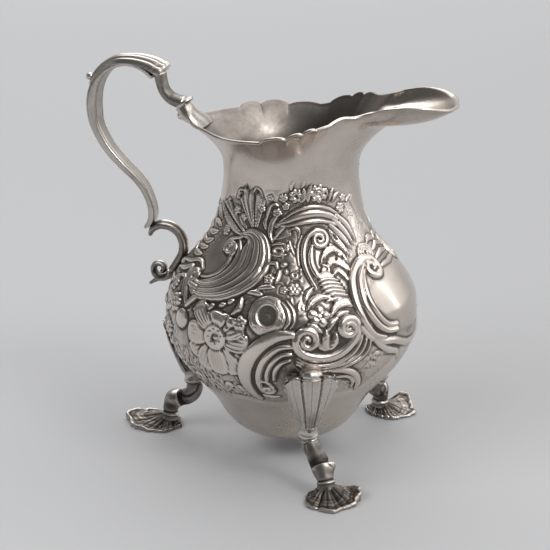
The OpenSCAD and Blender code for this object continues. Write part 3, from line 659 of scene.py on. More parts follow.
# U-shaped double scroll and what it holds
for pts, half in [
    ([[-35.4, 29.6], [-37.2, 31.6], [-38.4, 34.0]], 1.2),
    ([[-34.8, 29.6], [-35.4, 32.4], [-35.2, 35.4]], 1.3),
    ([[-34.2, 29.8], [-33.0, 31.8], [-32.4, 34.2]], 1.2),
    ([[-36.4, 34.6], [-38.6, 36.2], [-40.6, 36.6]], 1.1),
    ([[-34.6, 35.0], [-33.6, 37.0], [-31.8, 38.0]], 1.1),
]:
    leaf(pts, half, 1, 0.75, 0.08)
for k, (dx, hw) in enumerate([(0.0, 0.75), (1.75, 0.6), (3.3, 0.5)]):
    tube([[-24.9 + 0.8 * dx, 38.0 - k], [-24.9 + dx, 33.4], [-26.7 + dx, 29.4 - 0.5 * dx],
          [-30 + 0.6 * dx, 26.7 - dx * 0.6], [-34.6, 25.2 - 0.55 * dx], [-39.4, 25.8 - 0.6 * dx],
          [-43, 28 - dx * 0.6]],
         [0.3, hw, hw, hw, hw, hw * 0.9, 0.3], 0.85)
right_curl = curl(-28.8, 35.1, 3.0, -38, 2.0, 1, 0.12, 24)
left_curl = curl(-40.2, 32.5, 3.1, 190, 1.5, -1, 0.15, 20)
u_tube = (
    left_curl[::-1]
    + [[-42.9, 30.6], [-41, 28.7], [-38, 27.7], [-34.6, 27.6], [-31.2, 28.7], [-28.4, 30.8]]
    + right_curl
)
tube(u_tube, [0.5, 0.7, 0.85, 1.0, 1.15, 1.3, 1.3, 1.25, 1.1, 0.95, 0.85, 0.7, 0.5], 1.2, per=5)

# Concentric shell at lower left of the near leg
tube([[-44.4, 34.2], [-48.6, 33.6], [-53.2, 30.6], [-56.4, 26], [-57.8, 20.6], [-57.2, 15], [-54.6, 10.2]],
     [1.0, 1.6, 2.0, 2.1, 2.0, 1.7, 0.7], 0.95)
tube([[-44.4, 31.0], [-47.8, 30.6], [-51.2, 27.6], [-53.2, 23.2], [-53.8, 18.8], [-53.2, 14.6]],
     [0.6, 0.95, 1.05, 1.05, 1.0, 0.6], 0.95)
tube([[-44.6, 29.0], [-47.2, 28.6], [-49.8, 25.8], [-51.2, 22], [-51.4, 18.6]],
     [0.5, 0.7, 0.8, 0.8, 0.4], 0.85)
tube([[-45, 27.2], [-47, 26.4], [-48.8, 23.8], [-49.4, 20.4]], [0.4, 0.7, 0.75, 0.4], 0.8)
tube([[-53.0, 19.6], [-51.2, 19.0]] + curl(-51.4, 15.8, 2.1, 60, 1.4, -1), [0.4, 0.6, 0.7, 0.6, 0.5], 0.85)
tube([[-53.4, 12.6], [-50.6, 11.8], [-48, 12.2]], [0.3, 0.6, 0.3], 0.6)

# Oval scroll at lower right of the near leg
tube([[-33.6, 23.4], [-29.2, 22.8], [-25.6, 20.4], [-23.2, 16.6], [-22.6, 13]],
     [0.5, 0.95, 1.05, 1.0, 0.4], 0.9)
tube([[-31.6, 20.6], [-28, 20.2], [-25.4, 17.6], [-24.8, 14.6]], [0.3, 0.6, 0.6, 0.3], 0.5)
for _ in range(SCALES):
    x, y = rng.uniform(-24, -13), rng.uniform(20.5, 29.5)
    if y < 20 + (x + 24) * 0.55:
        continue
    tube([[x - 0.8, y], [x, y + 0.6], [x + 0.7, y - 0.3], [x + 1.2, y + 0.5]],
         [0.2, 0.35, 0.3, 0.15], 0.4, groove=0.2)

# Cartouche border, its plate, and the shell above it
w = (slice(None), slice(None))
plate_in = 5.5 * (1 - np.hypot(GX / 19.4, (GY - 40.2) / 10.6))
lay(w, plate_in, 0.1 + 0.5 * step01(plate_in / 3 + 0.1), groove=0.3, edge=1.2)
plainness[w] = np.maximum(plainness[w], step01(plate_in))
rings(-11.2, 57.2, [(1.2, 0.5, 0.8), (2.5, 0.5, 0.8), (3.8, 0.5, 0.8)], sx=1.15, high=0.8, dish=0.2)
tube([[-8, 50.2], [-4, 50.5], [0, 50.3]], [0.4, 0.8, 0.9], 0.8)
tube([[-7, 53.4], [-3.6, 54.2], [0, 54.8]], [0.3, 0.8, 1.0], 0.8)
tube([[-6.4, 56.6], [-3, 57.4], [0, 58.6]], [0.3, 0.8, 1.0], 0.8)
leaf([[-8.4, 60], [-5, 61.6], [-2.2, 61.4], [0, 59.6]], 1.4, 2, 0.8)
tube([[-24.6, 34.4], [-21.6, 31.4], [-17.4, 29.4], [-12.6, 28.4], [-8, 26.6], [-4.6, 25.6], [0, 25.2]],
     [1.0, 1.1, 1.1, 1.0, 1.0, 1.0, 1.0], 0.8)
tube([[-20.6, 30], [-17.4, 27.6], [-13.6, 25.6], [-10.2, 24.2], [-8.6, 21.6]], [0.4, 0.8, 0.9, 0.8, 0.3], 0.6)
tube([[-11.6, 32.7], [-15.4, 33.6], [-18.6, 36.6], [-20.3, 41], [-20.1, 45.6], [-18.4, 49.6], [-15.8, 52]],
     [0.75, 0.75, 0.8, 0.85, 0.85, 0.75, 0.4], 1.0)
tube([[-11.7, 31.3], [-16, 32.1], [-19.8, 35], [-22.1, 39.4], [-22.2, 44], [-20.9, 48.4], [-17.8, 52],
      [-14.2, 53.6], [-11.4, 53.2]],
     [0.8, 0.85, 0.95, 1.0, 1.0, 0.95, 0.85, 0.75, 0.4], 1.05)
tube(
    [[-16.4, 30.4], [-20.6, 32], [-23.6, 35.6], [-25, 40], [-24.9, 45], [-23.2, 49.8], [-19.8, 53.4],
     [-15.4, 55.3], [-11.4, 54.9]] + curl(-12.6, 51.2, 4.0, 60, 1.35, -1, 0.2, 18),
    [0.4, 1.0, 1.35, 1.5, 1.5, 1.45, 1.35, 1.3, 1.2, 1.15, 1.05, 0.9, 0.7], 1.2,
)

# The near half is joined to its mirror image, which is the far half


def both(half):
    """A near-half array of the chart followed by its mirror image."""
    return np.concatenate([half, half[:, ::-1]], 1)


relief, plainness, from_lip = both(relief), both(plainness), np.abs(both(GX))
relief = 0.55 * relief + 0.45 * blur(relief, 1)
# Tarnish gathers where the metal lies below its surroundings, near (3 cells) and farther off (9 cells)
cavity = 0.55 * (blur(relief, 3) - relief) / 0.3 + 0.6 * (blur(relief, 9) - relief) / 0.55
cavity = np.clip(cavity, -1, 1.4)
cavity = np.where(plainness > 0.9, 0.3 * cavity, cavity)
# The recesses towards the lip get less tarnish: painted light on the side the light falls on
wear_and_lit_side = mix(1.0, 0.74, step01((42 - from_lip) / 30))
cavity = cavity * np.where(cavity > 0, wear_and_lit_side, 1.0)


def spot(cx, cy, rx, ry, amount):
    """A patch that darkens the body on both sides, and lightens it where amount is below 0."""
    return both(amount * np.exp(-(((GX - cx) / rx) ** 2) - ((GY - cy) / ry) ** 2))


flat_ground = step01((0.30 - relief) / 0.25) * step01((0.9 - plainness) / 0.3)
cavity = cavity + 0.16 * flat_ground
# Lighter in the big scroll's hollow, darker left and right of the near knee, and a wide darker patch over the
# handle side that is painted shade on the side away from the light
for patch in [
    (-74, 54.4, 7.5, 8.5, -0.15), (-46, 21, 3.5, 7, 0.5),
    (-88, 42, 30, 34, 0.16), (-33, 18, 4.5, 4.5, 0.3),
]:
    cavity = cavity + spot(*patch)
# ------------------------------------------------------------------ mesh making


def link(ob):
    """Puts an object in the scene."""
    bpy.context.scene.collection.objects.link(ob)
    return ob


def new_mesh(name, verts, quads, material, tris=(), cavity_values=None):
    """Makes an object in metres from corners in mm, with its cavity values as a point attribute."""
    me = bpy.data.meshes.new(name)
    verts = np.asarray(verts, np.float64) * MM
    quads = np.asarray(quads, np.int32).reshape(-1, 4)
    tris = np.asarray(tris, np.int32).reshape(-1, 3)
    me.vertices.add(len(verts))
    me.vertices.foreach_set("co", verts.astype(np.float32).ravel())
    loops = np.concatenate([quads.ravel(), tris.ravel()])
    me.loops.add(len(loops))
    me.loops.foreach_set("vertex_index", loops)
    starts = np.concatenate([np.arange(len(quads)) * 4, len(quads) * 4 + np.arange(len(tris)) * 3])
    me.polygons.add(len(starts))
    me.polygons.foreach_set("loop_start", starts.astype(np.int32))
    me.update(calc_edges=True)
    me.validate()
    me.polygons.foreach_set("use_smooth", np.full(len(me.polygons), True))
    if cavity_values is not None:
        at = me.attributes.new("cavity", "FLOAT", "POINT")
        at.data.foreach_set("value", np.asarray(cavity_values, np.float32).ravel())
    me.materials.append(material)
    return link(bpy.data.objects.new(name, me))


def tube_faces(m, n, flip=False):
    """Faces of a tube of m rings of n points, and its end triangles round two last extra points."""
    i, k = np.meshgrid(np.arange(m - 1), np.arange(n), indexing="ij")
    j = (k + 1) % n
    quads = np.stack([i * n + k, i * n + j, (i + 1) * n + j, (i + 1) * n + k], -1).reshape(-1, 4)
    k = np.arange(n)
    j = (k + 1) % n
    start = np.stack([np.full(n, m * n), j, k], -1)
    end = np.stack([np.full(n, m * n + 1), (m - 1) * n + k, (m - 1) * n + j], -1)
    tris = np.concatenate([start, end])
    return (quads[:, ::-1], tris[:, ::-1]) if flip else (quads, tris)


def mesh_cavity(verts, q, t, rounds, depth):
    """How far each point lies below its smoothed surroundings, from about -1 (edge) to 1 (recess)."""
    pairs = [q[:, [i, (i + 1) % 4]] for i in range(4)] + [t[:, [i, (i + 1) % 3]] for i in range(3)]
    e = np.unique(np.sort(np.concatenate(pairs), 1), axis=0)
    n = len(verts)
    deg = np.bincount(e.ravel(), minlength=n).astype(float)[:, None]
    fn = np.cross(verts[q[:, 1]] - verts[q[:, 0]], verts[q[:, 3]] - verts[q[:, 0]])
    vn = np.zeros((n, 3))
    for c in range(3):
        vn[:, c] = np.bincount(q.ravel(), np.repeat(fn[:, c], 4), minlength=n)
    vn = unit(vn)
    p = verts.copy()
    for _ in range(rounds):
        s = np.zeros_like(p)
        for c in range(3):
            s[:, c] = np.bincount(e[:, 0], p[e[:, 1], c], minlength=n)
            s[:, c] += np.bincount(e[:, 1], p[e[:, 0], c], minlength=n)
        p = 0.4 * p + 0.6 * s / np.maximum(deg, 1)
    return np.clip(((p - verts) * vn).sum(-1) / depth, -1, 1.4)


# Rings of a rounded end: share of the last ring's size, and how far beyond it in its smallest radii
CAP_RINGS = ((0.92, 0.16), (0.72, 0.3), (0.4, 0.4))


def closed_tube(name, grid, material, cap=True, rounds=5, depth=0.12, flip=False, tarnish=0.0):
    """A closed sweep from rings of points. cap rounds its ends, which are otherwise flat.

    tarnish is added to the cavity value, so that all but the proud edges of a piece go dull.
    """
    g = np.asarray(grid, float)
    dull = np.broadcast_to(tarnish, g.shape[:2])
    if cap:
        ends = []
        for ring, prev in ((g[0], g[1]), (g[-1], g[-2])):
            mid = ring.mean(0)
            way = unit(mid - prev.mean(0))
            size = np.linalg.norm(ring - mid, axis=-1).min()
            ends.append([mid + (ring - mid) * f + way * size * h for f, h in CAP_RINGS])
        g = np.concatenate([np.array(ends[0][::-1]), g, np.array(ends[1])])
        dull = np.pad(dull, ((len(CAP_RINGS), len(CAP_RINGS)), (0, 0)), mode="edge")
    verts = np.concatenate([g.reshape(-1, 3), g[:1].mean(1), g[-1:].mean(1)])
    quads, tris = tube_faces(*g.shape[:2], flip)
    dull = np.r_[dull.ravel(), dull[0].mean(), dull[-1].mean()]
    return new_mesh(name, verts, quads, material, tris, mesh_cavity(verts, quads, tris, rounds, depth) + dull)


def place(ob, *nodes, slot="cast_silver"):
    """Fixes a piece to the jug, in place of the CAD nodes that it stands for."""
    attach(ob, "root")
    if nodes:
        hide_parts(*nodes)


# ------------------------------------------------------------------ materials


def add_node(tree, kind, inputs=None, **settings):
    """Adds a node. inputs maps a socket's name or number to a value or to another node's output."""
    node = tree.nodes.new(kind)
    for key, value in settings.items():
        setattr(node, key, value)
    for key, value in (inputs or {}).items():
        if isinstance(value, bpy.types.NodeSocket):
            tree.links.new(value, node.inputs[key])
        else:
            node.inputs[key].default_value = value
    return node


def shade(tone, r, g, b):
    """A tone with its red, green and blue scaled, as a node colour."""
    return (tone[0] * r, tone[1] * g, tone[2] * b, 1.0)


# Tarnish colours, which also paint shade wherever the cavity value holds painted shade
BROWN_VEIL_AND_SHADE = (0.30, 0.27, 0.235, 1.0)
BLACK_TARNISH_AND_SHADE = (0.022, 0.019, 0.017, 1.0)


def silver(name, tone, rough, dark=1.0, seed=0.0, warm=0.3):
    """Worn silver: bright where worn, with a brown veil and black tarnish as the cavity value rises. These
    colours also show the painted shade and painted light that the body's value carries.
    """
    mat = bpy.data.materials.new(name)
    mat.use_nodes = True
    tree = mat.node_tree
    tree.nodes.clear()

    def noise(vector, size, detail, roughness=0.5):
        """Cloudy values round 0.5; a larger size gives finer noise."""
        values = {"Vector": vector, "Scale": size, "Detail": detail, "Roughness": roughness}
        return add_node(tree, "ShaderNodeTexNoise", values).outputs["Fac"]

    def ramp(src, lo, hi, a=0.0, b=1.0):
        """a where src is below lo, b where it is above hi."""
        ends = {"Value": src, "From Min": lo, "From Max": hi, "To Min": a, "To Max": b}
        return add_node(tree, "ShaderNodeMapRange", ends, interpolation_type="SMOOTHSTEP").outputs["Result"]

    def calc(op, *terms, clamp=False):
        """One sum; MULTIPLY_ADD is the first term times the second plus the third."""
        return add_node(tree, "ShaderNodeMath", dict(enumerate(terms)), operation=op,
                        use_clamp=clamp).outputs[0]

    def blend(share, a, b):
        """Colour a with a share of colour b in it."""
        return add_node(tree, "ShaderNodeMix", {0: share, 6: a, 7: b}, data_type="RGBA").outputs[2]

    def mapped(vector, **values):
        """A place moved, turned or scaled before noise reads it."""
        return add_node(tree, "ShaderNodeMapping", {"Vector": vector, **values}).outputs["Vector"]

    where = add_node(tree, "ShaderNodeTexCoord").outputs["Object"]
    where = mapped(where, Location=(seed, seed * 0.7, seed * 1.3))
    cavity_value = add_node(tree, "ShaderNodeAttribute", attribute_name="cavity").outputs["Fac"]
    patchy, cloud, grain = noise(where, 70, 5, 0.6), noise(where, 22, 3), noise(where, 900, 3, 0.6)
    # Tarnish sits in the recesses, broken up by noise, with a thin veil over everything; the same colours
    # show the painted shade and painted light carried in the value
    level = calc("ADD", cavity_value, calc("MULTIPLY_ADD", patchy, 0.5, -0.25))
    level = calc("ADD", level, calc("MULTIPLY_ADD", grain, 0.24, -0.12))
    deep = ramp(level, 0.18, 1.05, 0.0, 0.9 * dark)
    soft = ramp(level, -0.45, 0.6, 0.0, 0.55 * dark)
    colour = blend(ramp(cloud, 0.45, 0.75, 0.0, warm), shade(tone, 1, 1, 1), shade(tone, 0.93, 0.86, 0.70))
    colour = blend(ramp(patchy, 0.35, 0.7, 0.0, 0.35), colour, shade(tone, 0.72, 0.69, 0.64))
    colour = blend(deep, blend(soft, colour, BROWN_VEIL_AND_SHADE), BLACK_TARNISH_AND_SHADE)
    roughness = calc("MULTIPLY_ADD", deep, 0.32, ramp(patchy, 0.3, 0.75, rough * 0.75, rough * 1.45))
    roughness = calc("MULTIPLY_ADD", grain, 0.06, roughness, clamp=True)
    # Fine handling scratches in two crossed directions, and faint hammer dents
    along = noise(mapped(where, Rotation=(0.4, 0.9, 0.5), Scale=(60, 1500, 900)), 1.0, 2.0)
    across = noise(mapped(where, Rotation=(1.1, -0.5, 1.4), Scale=(1300, 70, 1100)), 1.0, 2.0)
    scratches = calc("MAXIMUM", ramp(along, 0.63, 0.72), ramp(across, 0.65, 0.74))
    height = calc("ADD", calc("MULTIPLY", scratches, -0.25), calc("MULTIPLY", noise(where, 160, 2), 1.2))
    height = calc("ADD", height, calc("MULTIPLY", grain, 0.12))
    bump = add_node(tree, "ShaderNodeBump", {"Strength": 0.35, "Distance": 0.00006, "Height": height})
    surface = {"Base Color": colour, "Metallic": 1.0, "Roughness": roughness,
               "Normal": bump.outputs["Normal"]}
    bsdf = add_node(tree, "ShaderNodeBsdfPrincipled", surface)
    add_node(tree, "ShaderNodeOutputMaterial", {"Surface": bsdf.outputs["BSDF"]})
    return mat


raised = silver("raised_silver", (0.76, 0.69, 0.64), 0.19, dark=0.9)
cast = silver("cast_silver", (0.72, 0.68, 0.65), 0.24, seed=0.31)
cast_foot = silver("cast_foot_silver", (0.56, 0.51, 0.48), 0.3, seed=0.57, warm=0.25)
# ------------------------------------------------------------------ body mesh

COLS2 = 2 * COLS
angle = (np.arange(COLS2) + 0.5) * (2 * math.pi / COLS2) - math.pi
deg = np.degrees(angle)
ca, sa = np.cos(angle), np.sin(angle)
GROUND = -0.5  # the chased ground lies this far inside the CAD surface
DEPTH = 0.7  # mm of height for each unit of relief, at the belly
TOP_FADE, LOW_FADE = 7.0, 6.0
BASE_Z = PROFILE[0][1]


def turned(y):
    """Radius, height and outward normal of the plain body at chart heights y."""
    at = [np.stack([np.interp(y + d, chart_y, dense[:, i]) for i in (0, 1)], -1) for d in (-0.3, 0, 0.3)]
    t = unit(at[2] - at[0])
    return at[1][:, 0], at[1][:, 1], t[:, 1], -t[:, 0]


def ring_rows(r, z, nr, nz, off):
    """Rows of the turned body, each point moved out along the normal by off."""
    rr = r[:, None] + nr[:, None] * off
    zz = z[:, None] + nz[:, None] * off
    return np.stack([rr * ca, rr * sa, zz], -1)


def faded(y):
    """1 over the chasing at chart heights y, 0 at its upper and lower limits."""
    return (step01((Y_TOP - y) / TOP_FADE) * step01((y - Y_LOW) / LOW_FADE))[:, None]


r, z, nr, nz = turned(gy)
lift = (GROUND + DEPTH * relief) * (r / BELLY_R)[:, None] * faded(gy)
chased_rows = ring_rows(r, z, nr, nz, lift)

# Plain base below the chasing, and its inner face
BASE_ROWS = 34
base_at = np.linspace(3, int(np.searchsorted(chart_y, Y_LOW)) - 4, BASE_ROWS).astype(int)
br, bz = dense[base_at].T
bn = unit(np.stack([np.gradient(bz), -np.gradient(br)], -1))
on_surface = np.zeros((BASE_ROWS, COLS2))
base_rows = ring_rows(br, bz, bn[:, 0], bn[:, 1], on_surface)
inner_base = ring_rows(br, bz, bn[:, 0], bn[:, 1], on_surface - WALL)[::-1]

# Rounded and slightly thickened rim, then the inner face going down
RIM_ROWS = 48
v = (np.arange(1, RIM_ROWS + 1) / RIM_ROWS)[:, None]
rim_rows = rim_points(deg, v)
da = rim_points(deg + 0.5, np.maximum(v, 0.03)) - rim_points(deg - 0.5, np.maximum(v, 0.03))
dv = rim_points(deg, np.minimum(v + 0.02, 1)) - rim_points(deg, np.maximum(v - 0.02, 0))
rim_n = unit(np.cross(da, dv))
BEAD_OUT, BEAD_IN = 0.16, 0.12
edge_bead = bell(v, 1, 0.035)
rim_out = rim_rows + rim_n * (BEAD_OUT * edge_bead)[..., None]
inner_rows = (rim_rows - rim_n * (WALL + BEAD_IN * edge_bead)[..., None])[::-1]
up = unit(rim_rows[-1] - rim_rows[-2])
lipped = [mix(rim_out[-1], inner_rows[0], f) + up * 0.3 * math.sin(math.pi * f) for f in (0.12, 0.5, 0.88)]

# Inside of the belly, where the chasing shows through as softer shapes
iy = np.arange(Y_TOP - 0.6, Y_LOW, -0.9)
ir, iz, inr, inz = turned(iy)
nearest_row = np.clip(((iy - Y_LOW) / STEP).round().astype(int), 0, ROWS - 1)
inner_lift = (GROUND + blur(relief, 4)[nearest_row]) * (ir / BELLY_R)[:, None] * faded(iy) - WALL
inner_belly = ring_rows(ir, iz, inr, inz, inner_lift)

# Tarnish of each stretch: plain base, chasing, rim, and the inside. The inside is tarnish deepened as painted
# shade, darkest low down, darker on the far wall and lighter by the lip.
tarnish_and_shade_rows = [np.full((BASE_ROWS, COLS2), 0.02), cavity * faded(gy)]
tarnish_and_shade_rows.append(np.repeat(0.22 * edge_bead + 0.2 * bell(v, 1, 0.16), COLS2, 1))
tarnish_and_shade_rows.append(np.zeros((len(lipped), COLS2)))
# Inside the rim: tarnish with painted shade, more painted shade on the far wall and painted light towards the
# lip
down = np.linspace(1, 0, RIM_ROWS)[:, None]
lip_side = step01((LIP_ROOT - np.abs(deg)) / 14)[None] * down**0.5
far_wall = bell(deg, 66, 26)[None]
tarnish_and_shade_rows.append(0.7 + (0.5 * far_wall - 0.42 * lip_side))
# Inside of the belly and base: tarnish with the deepest painted shade in the jug
tarnish_and_shade_rows.append(np.full((len(iy) + BASE_ROWS, COLS2), 0.95))

grid = np.concatenate([base_rows, chased_rows, rim_out, lipped, inner_rows, inner_belly, inner_base])
verts = np.concatenate([grid.reshape(-1, 3), [[0, 0, BASE_Z], [0, 0, BASE_Z + WALL]]])
quads, tris = tube_faces(len(grid), COLS2)
body_tarnish_and_shade = np.r_[np.concatenate(tarnish_and_shade_rows).ravel(), 0.1, 0.3]
place(new_mesh("Body_chased", verts, quads, raised, tris, body_tarnish_and_shade), "body", slot="raised_silver")
# ------------------------------------------------------------------ swept castings


def swept(points, per, sides, shape):
    """Rings along a sweep through stations (x, y, z, then the values that shape uses).

    shape(s, a, values) gives the offsets towards the far side and towards the path's right, as seen from
    the near side, at distance s along (0 to 1) and angle a round it.
    """
    p = spline(points, per)
    c, val = p[:, :3], p[:, 3:]
    t = unit(np.gradient(c, axis=0))
    d = unit(np.cross([0, 1.0, 0], t))
    b = np.cross(t, d)
    s = np.linspace(0, 1, len(c))[:, None]
    a = (np.arange(sides) + 0.5) * 2 * math.pi / sides
    u, w = shape(s, a[None], val)
    return c[:, None] + b[:, None] * u[..., None] + d[:, None] * w[..., None]
# Each section below uses a station's half width and two depths: on the right of the path, as seen from
# the near side, where cos(a) is positive, and on its left


def oval(s, a, val):
    """A plain oval."""
    return val[:, :1] * np.sin(a), np.cos(a) * np.where(np.cos(a) > 0, val[:, 1:2], val[:, 2:3])


def ribbed(s, a, val):
    """A strap whose outer side carries three ribs along it and whose inner side is nearly flat."""
    t, c = np.sin(a), np.cos(a)
    side = np.sign(t) * np.abs(t) ** 0.8
    rib = 1 - 0.34 * (0.5 - 0.5 * np.cos(side * math.pi * 3)) * step01((1 - np.abs(side)) * 5 + 0.2)
    top = val[:, 1:2] * np.abs(c) ** 0.75 * rib * 1.08
    under = -val[:, 2:3] * np.abs(c) ** 0.4
    under = under * (1 - 0.3 * bell(np.abs(side), 0.68, 0.09) - 0.12 * (np.abs(side) < 0.6))
    return val[:, :1] * side, np.where(c > 0, top, under)


# Handle stations: x, y, z, half width, and depth on the right and on the left of the path
strap = [
    [-37.6, 0, 100.9, 3.2, 0.9, 0.8], [-40.4, 0, 103.1, 3.6, 0.9, 0.8], [-44, 0, 104.1, 3.6, 0.9, 0.8],
    [-47.8, 0, 103.5, 3.3, 0.9, 0.8], [-51.2, 0, 101.4, 3.3, 1.1, 0.9], [-53.6, 0, 98.2, 3.3, 1.5, 1.3],
    [-54.7, 0, 94.4, 3.3, 1.8, 1.5], [-54.8, 0, 90.6, 3.3, 1.8, 1.5], [-53.9, 0, 86.4, 3.2, 1.7, 1.1],
    [-51, 0, 81, 3.0, 1.6, 1.1], [-46.9, 0, 76.4, 2.8, 1.5, 1], [-43.2, 0, 73, 2.5, 1.4, 0.9],
    [-40.5, 0, 69.4, 2.3, 1.3, 0.9], [-39, 0, 65.6, 2.2, 1.2, 0.9], [-38.7, 0, 62.6, 2.1, 1.2, 1],
    [-39.4, 0, 60.4, 1.8, 1, 0.9], [-41.1, 0, 58.7, 0.9, 0.4, 0.4],
]
leaf_path = [
    [-55.9, 0, 97.4, 0.5, 0.4, 0.4], [-54.8, 0, 99.6, 1.5, 0.7, 0.7], [-52, 0, 102.5, 2.6, 0.9, 0.9],
    [-48, 0, 104.7, 3.4, 1, 1], [-43.9, 0, 105.3, 4, 1.1, 1], [-40, 0, 105, 4.5, 1.3, 1],
    [-36.9, 0, 103.9, 4.9, 1.4, 1.2], [-34.9, 0, 102.4, 4.7, 1.2, 1.2],
]
grip_neck = [
    [-36.1, 0, 101.6, 2.7, 1.7, 1.5], [-35.7, 0, 99.2, 2.3, 1.6, 1.5], [-34.9, 0, 96.9, 2.2, 1.6, 1.5],
    [-33.2, 0, 95.1, 2.3, 1.7, 1.6], [-31.3, 0, 94.3, 2.4, 1.8, 1.7], [-29.9, 0, 93.9, 2.5, 1.9, 1.9],
]
low_scroll = [
    [-39.8, 0, 56.7, 0.9, 0.5, 0.5], [-38.8, 0, 58.5, 1.7, 0.9, 0.9], [-36.6, 0, 59.8, 2.1, 1.2, 1.1],
    [-33.8, 0, 59.6, 2.1, 1.3, 1.1], [-31.4, 0, 58, 2.1, 1.3, 1.1], [-30.2, 0, 55.3, 2.1, 1.3, 1.1],
    [-30.4, 0, 52.4, 2.1, 1.3, 1.1], [-31.8, 0, 49.8, 2, 1.2, 1.1], [-33.4, 0, 47.5, 2, 1.1, 1],
]
CURL_X, CURL_Z = -36.9, 47.3
curl_path = [
    [CURL_X + q * math.cos(t), 0, CURL_Z + q * math.sin(t), 2 - i * 0.03, 0.95 - i * 0.02, 0.9 - i * 0.02]
    for i in range(17)
    for t, q in [(math.radians(-4 - i * 26), 2.9 - i * 0.135)]
]
spur_path = [[-36.2, 0, 44.7, 1.5, 0.7, 0.7], [-38, 0, 44.3, 1.2, 0.6, 0.6], [-40, 0, 43, 0.7, 0.35, 0.35]]


place(closed_tube("Handle_strap", swept(strap, 10, 72, ribbed), cast, tarnish=0.4), "handle_shank")


def leaf_shape(s, a, val):
    """An arched leaf: its sides hang down and five ribs fan out towards its wide end."""
    t, c = np.sin(a), np.cos(a)
    side = np.sign(t) * np.abs(t) ** 0.9
    five = np.abs(np.cos(side * math.pi * 2.5))
    arch = (1 - 0.98 * side**2) ** 0.7
    fan = 0.16 + 0.34 * step01((s - 0.1) / 0.6)
    rib = fan * (five - 0.6) * step01((1 - np.abs(side)) * 9 + 0.1)
    roll = 0.45 * step01((s - 0.88) / 0.08)
    top = mix(-0.9 * val[:, 1:2], 1.1 * val[:, 2:3], arch) + rib + roll
    under = mix(-1.0 * val[:, 1:2], 1.1 * val[:, 2:3] - 0.8, arch) - 0.25 * np.abs(c) ** 0.5
    flare = 1 + 0.05 * five * step01((s - 0.8) / 0.2)
    return val[:, :1] * side * flare, np.where(c > 0, -under, -top)
place(closed_tube("Handle_leaf", swept(leaf_path, 16, 200, leaf_shape), cast, tarnish=0.34),
      "handle_leaf_cap")
place(closed_tube("Handle_neck", swept(grip_neck, 10, 56, oval), cast, tarnish=0.8), "handle_neck")


def rib_oval(s, a, val):
    """An oval with one proud rib down its outer side."""
    t, c = np.sin(a), np.cos(a)
    rib = 1 + 0.45 * bell(t, 0, 0.33) - 0.12 * bell(np.abs(t), 0.5, 0.14)
    return val[:, :1] * t, np.where(c > 0, val[:, 1:2] * c, -val[:, 2:3] * np.abs(c) ** 0.8 * rib * 0.86)


scroll = closed_tube("Handle_lower_scroll", swept(low_scroll, 12, 64, rib_oval), cast, tarnish=0.7)
place(scroll, "handle_lower_scroll")
place(closed_tube("Handle_volute", swept(curl_path, 4, 48, rib_oval), cast, tarnish=0.8), "handle_volute")
place(closed_tube("Handle_volute_spur", swept(spur_path, 10, 40, rib_oval), cast, tarnish=0.7))
def lathe(name, profile, origin, tilt=0, per=6, wave=None, rounds=4):
    """Turned piece round its own axis, tipped by tilt degrees about Y and set at origin."""
    p = spline(profile, per)
    sides = 96
    a = (np.arange(sides) + 0.5) * 2 * math.pi / sides
    r, z = np.repeat(p[:, :1], sides, 1), np.repeat(p[:, 1:2], sides, 1)
    if wave is not None:
        r = r * wave(p[:, 1:2], a[None])
    x, y = r * np.cos(a), r * np.sin(a)
    t = math.radians(tilt)
    g = np.stack([x * math.cos(t) + z * math.sin(t), y, -x * math.sin(t) + z * math.cos(t)], -1)
    return closed_tube(name, g + np.array(origin), cast, cap=False, rounds=rounds)
collar = [[1.6, -0.62], [2.1, -0.64], [2.55, -0.48], [2.72, -0.1], [2.66, 0.28], [2.4, 0.56], [2.0, 0.64],
          [1.6, 0.6]]
place(lathe("Handle_collar", collar, (-29.45, 0, 93.9), tilt=143), "handle_collar")
root = [
    [-30.2, 0, 93.2, 2.2, 2.0, 2.0], [-29.3, 0, 92.3, 2.7, 2.2, 2.2], [-28.3, 0, 91.2, 3.4, 2.3, 2.0],
    [-27.1, 0, 90.4, 4.3, 2.0, 1.4], [-25.6, 0, 89.9, 5.4, 1.5, 0.8], [-24.2, 0, 89.3, 6.1, 1.0, 0.5],
    [-23.0, 0, 88.4, 5.4, 0.4, 0.25],
]


def root_shape(s, a, val):
    """A spreading foot for the handle, creased along its middle as it meets the rim."""
    t, c = np.sin(a), np.cos(a)
    crease = 1 + 0.22 * np.cos(t * 2.5 * math.pi) * step01((s - 0.35) / 0.4)
    return val[:, :1] * t, np.where(c > 0, val[:, 1:2] * c, val[:, 2:3] * c * crease)


place(closed_tube("Handle_rim_socket", swept(root, 12, 80, root_shape), cast, tarnish=0.32),
      "handle_rim_socket")


def ball(name, at, r):
    """A bead, slightly flattened from top to bottom."""
    rows, sides, squeeze = 28, 56, 0.97
    ph = ((np.arange(rows) + 0.5) * math.pi / rows)[:, None]
    a = (np.arange(sides) + 0.5) * 2 * math.pi / sides
    g = r * np.stack([np.sin(ph) * np.cos(a), np.sin(ph) * np.sin(a), -squeeze * np.cos(ph) + 0 * a], -1)
    return closed_tube(name, g + np.array(at), cast, cap=False, rounds=3)


place(ball("Handle_thumb_bead", (-56, 0, 99.6), 1.12), "handle_thumb_bead")
place(ball("Handle_socket_bead", (-30.3, 0, 90.4), 1.22), "handle_socket_bead")

# ------------------------------------------------------------------ legs


# A foot's middle lies FOOT_R plus its reach from the body's axis, and sway to one side
FOOT_R = 35.3


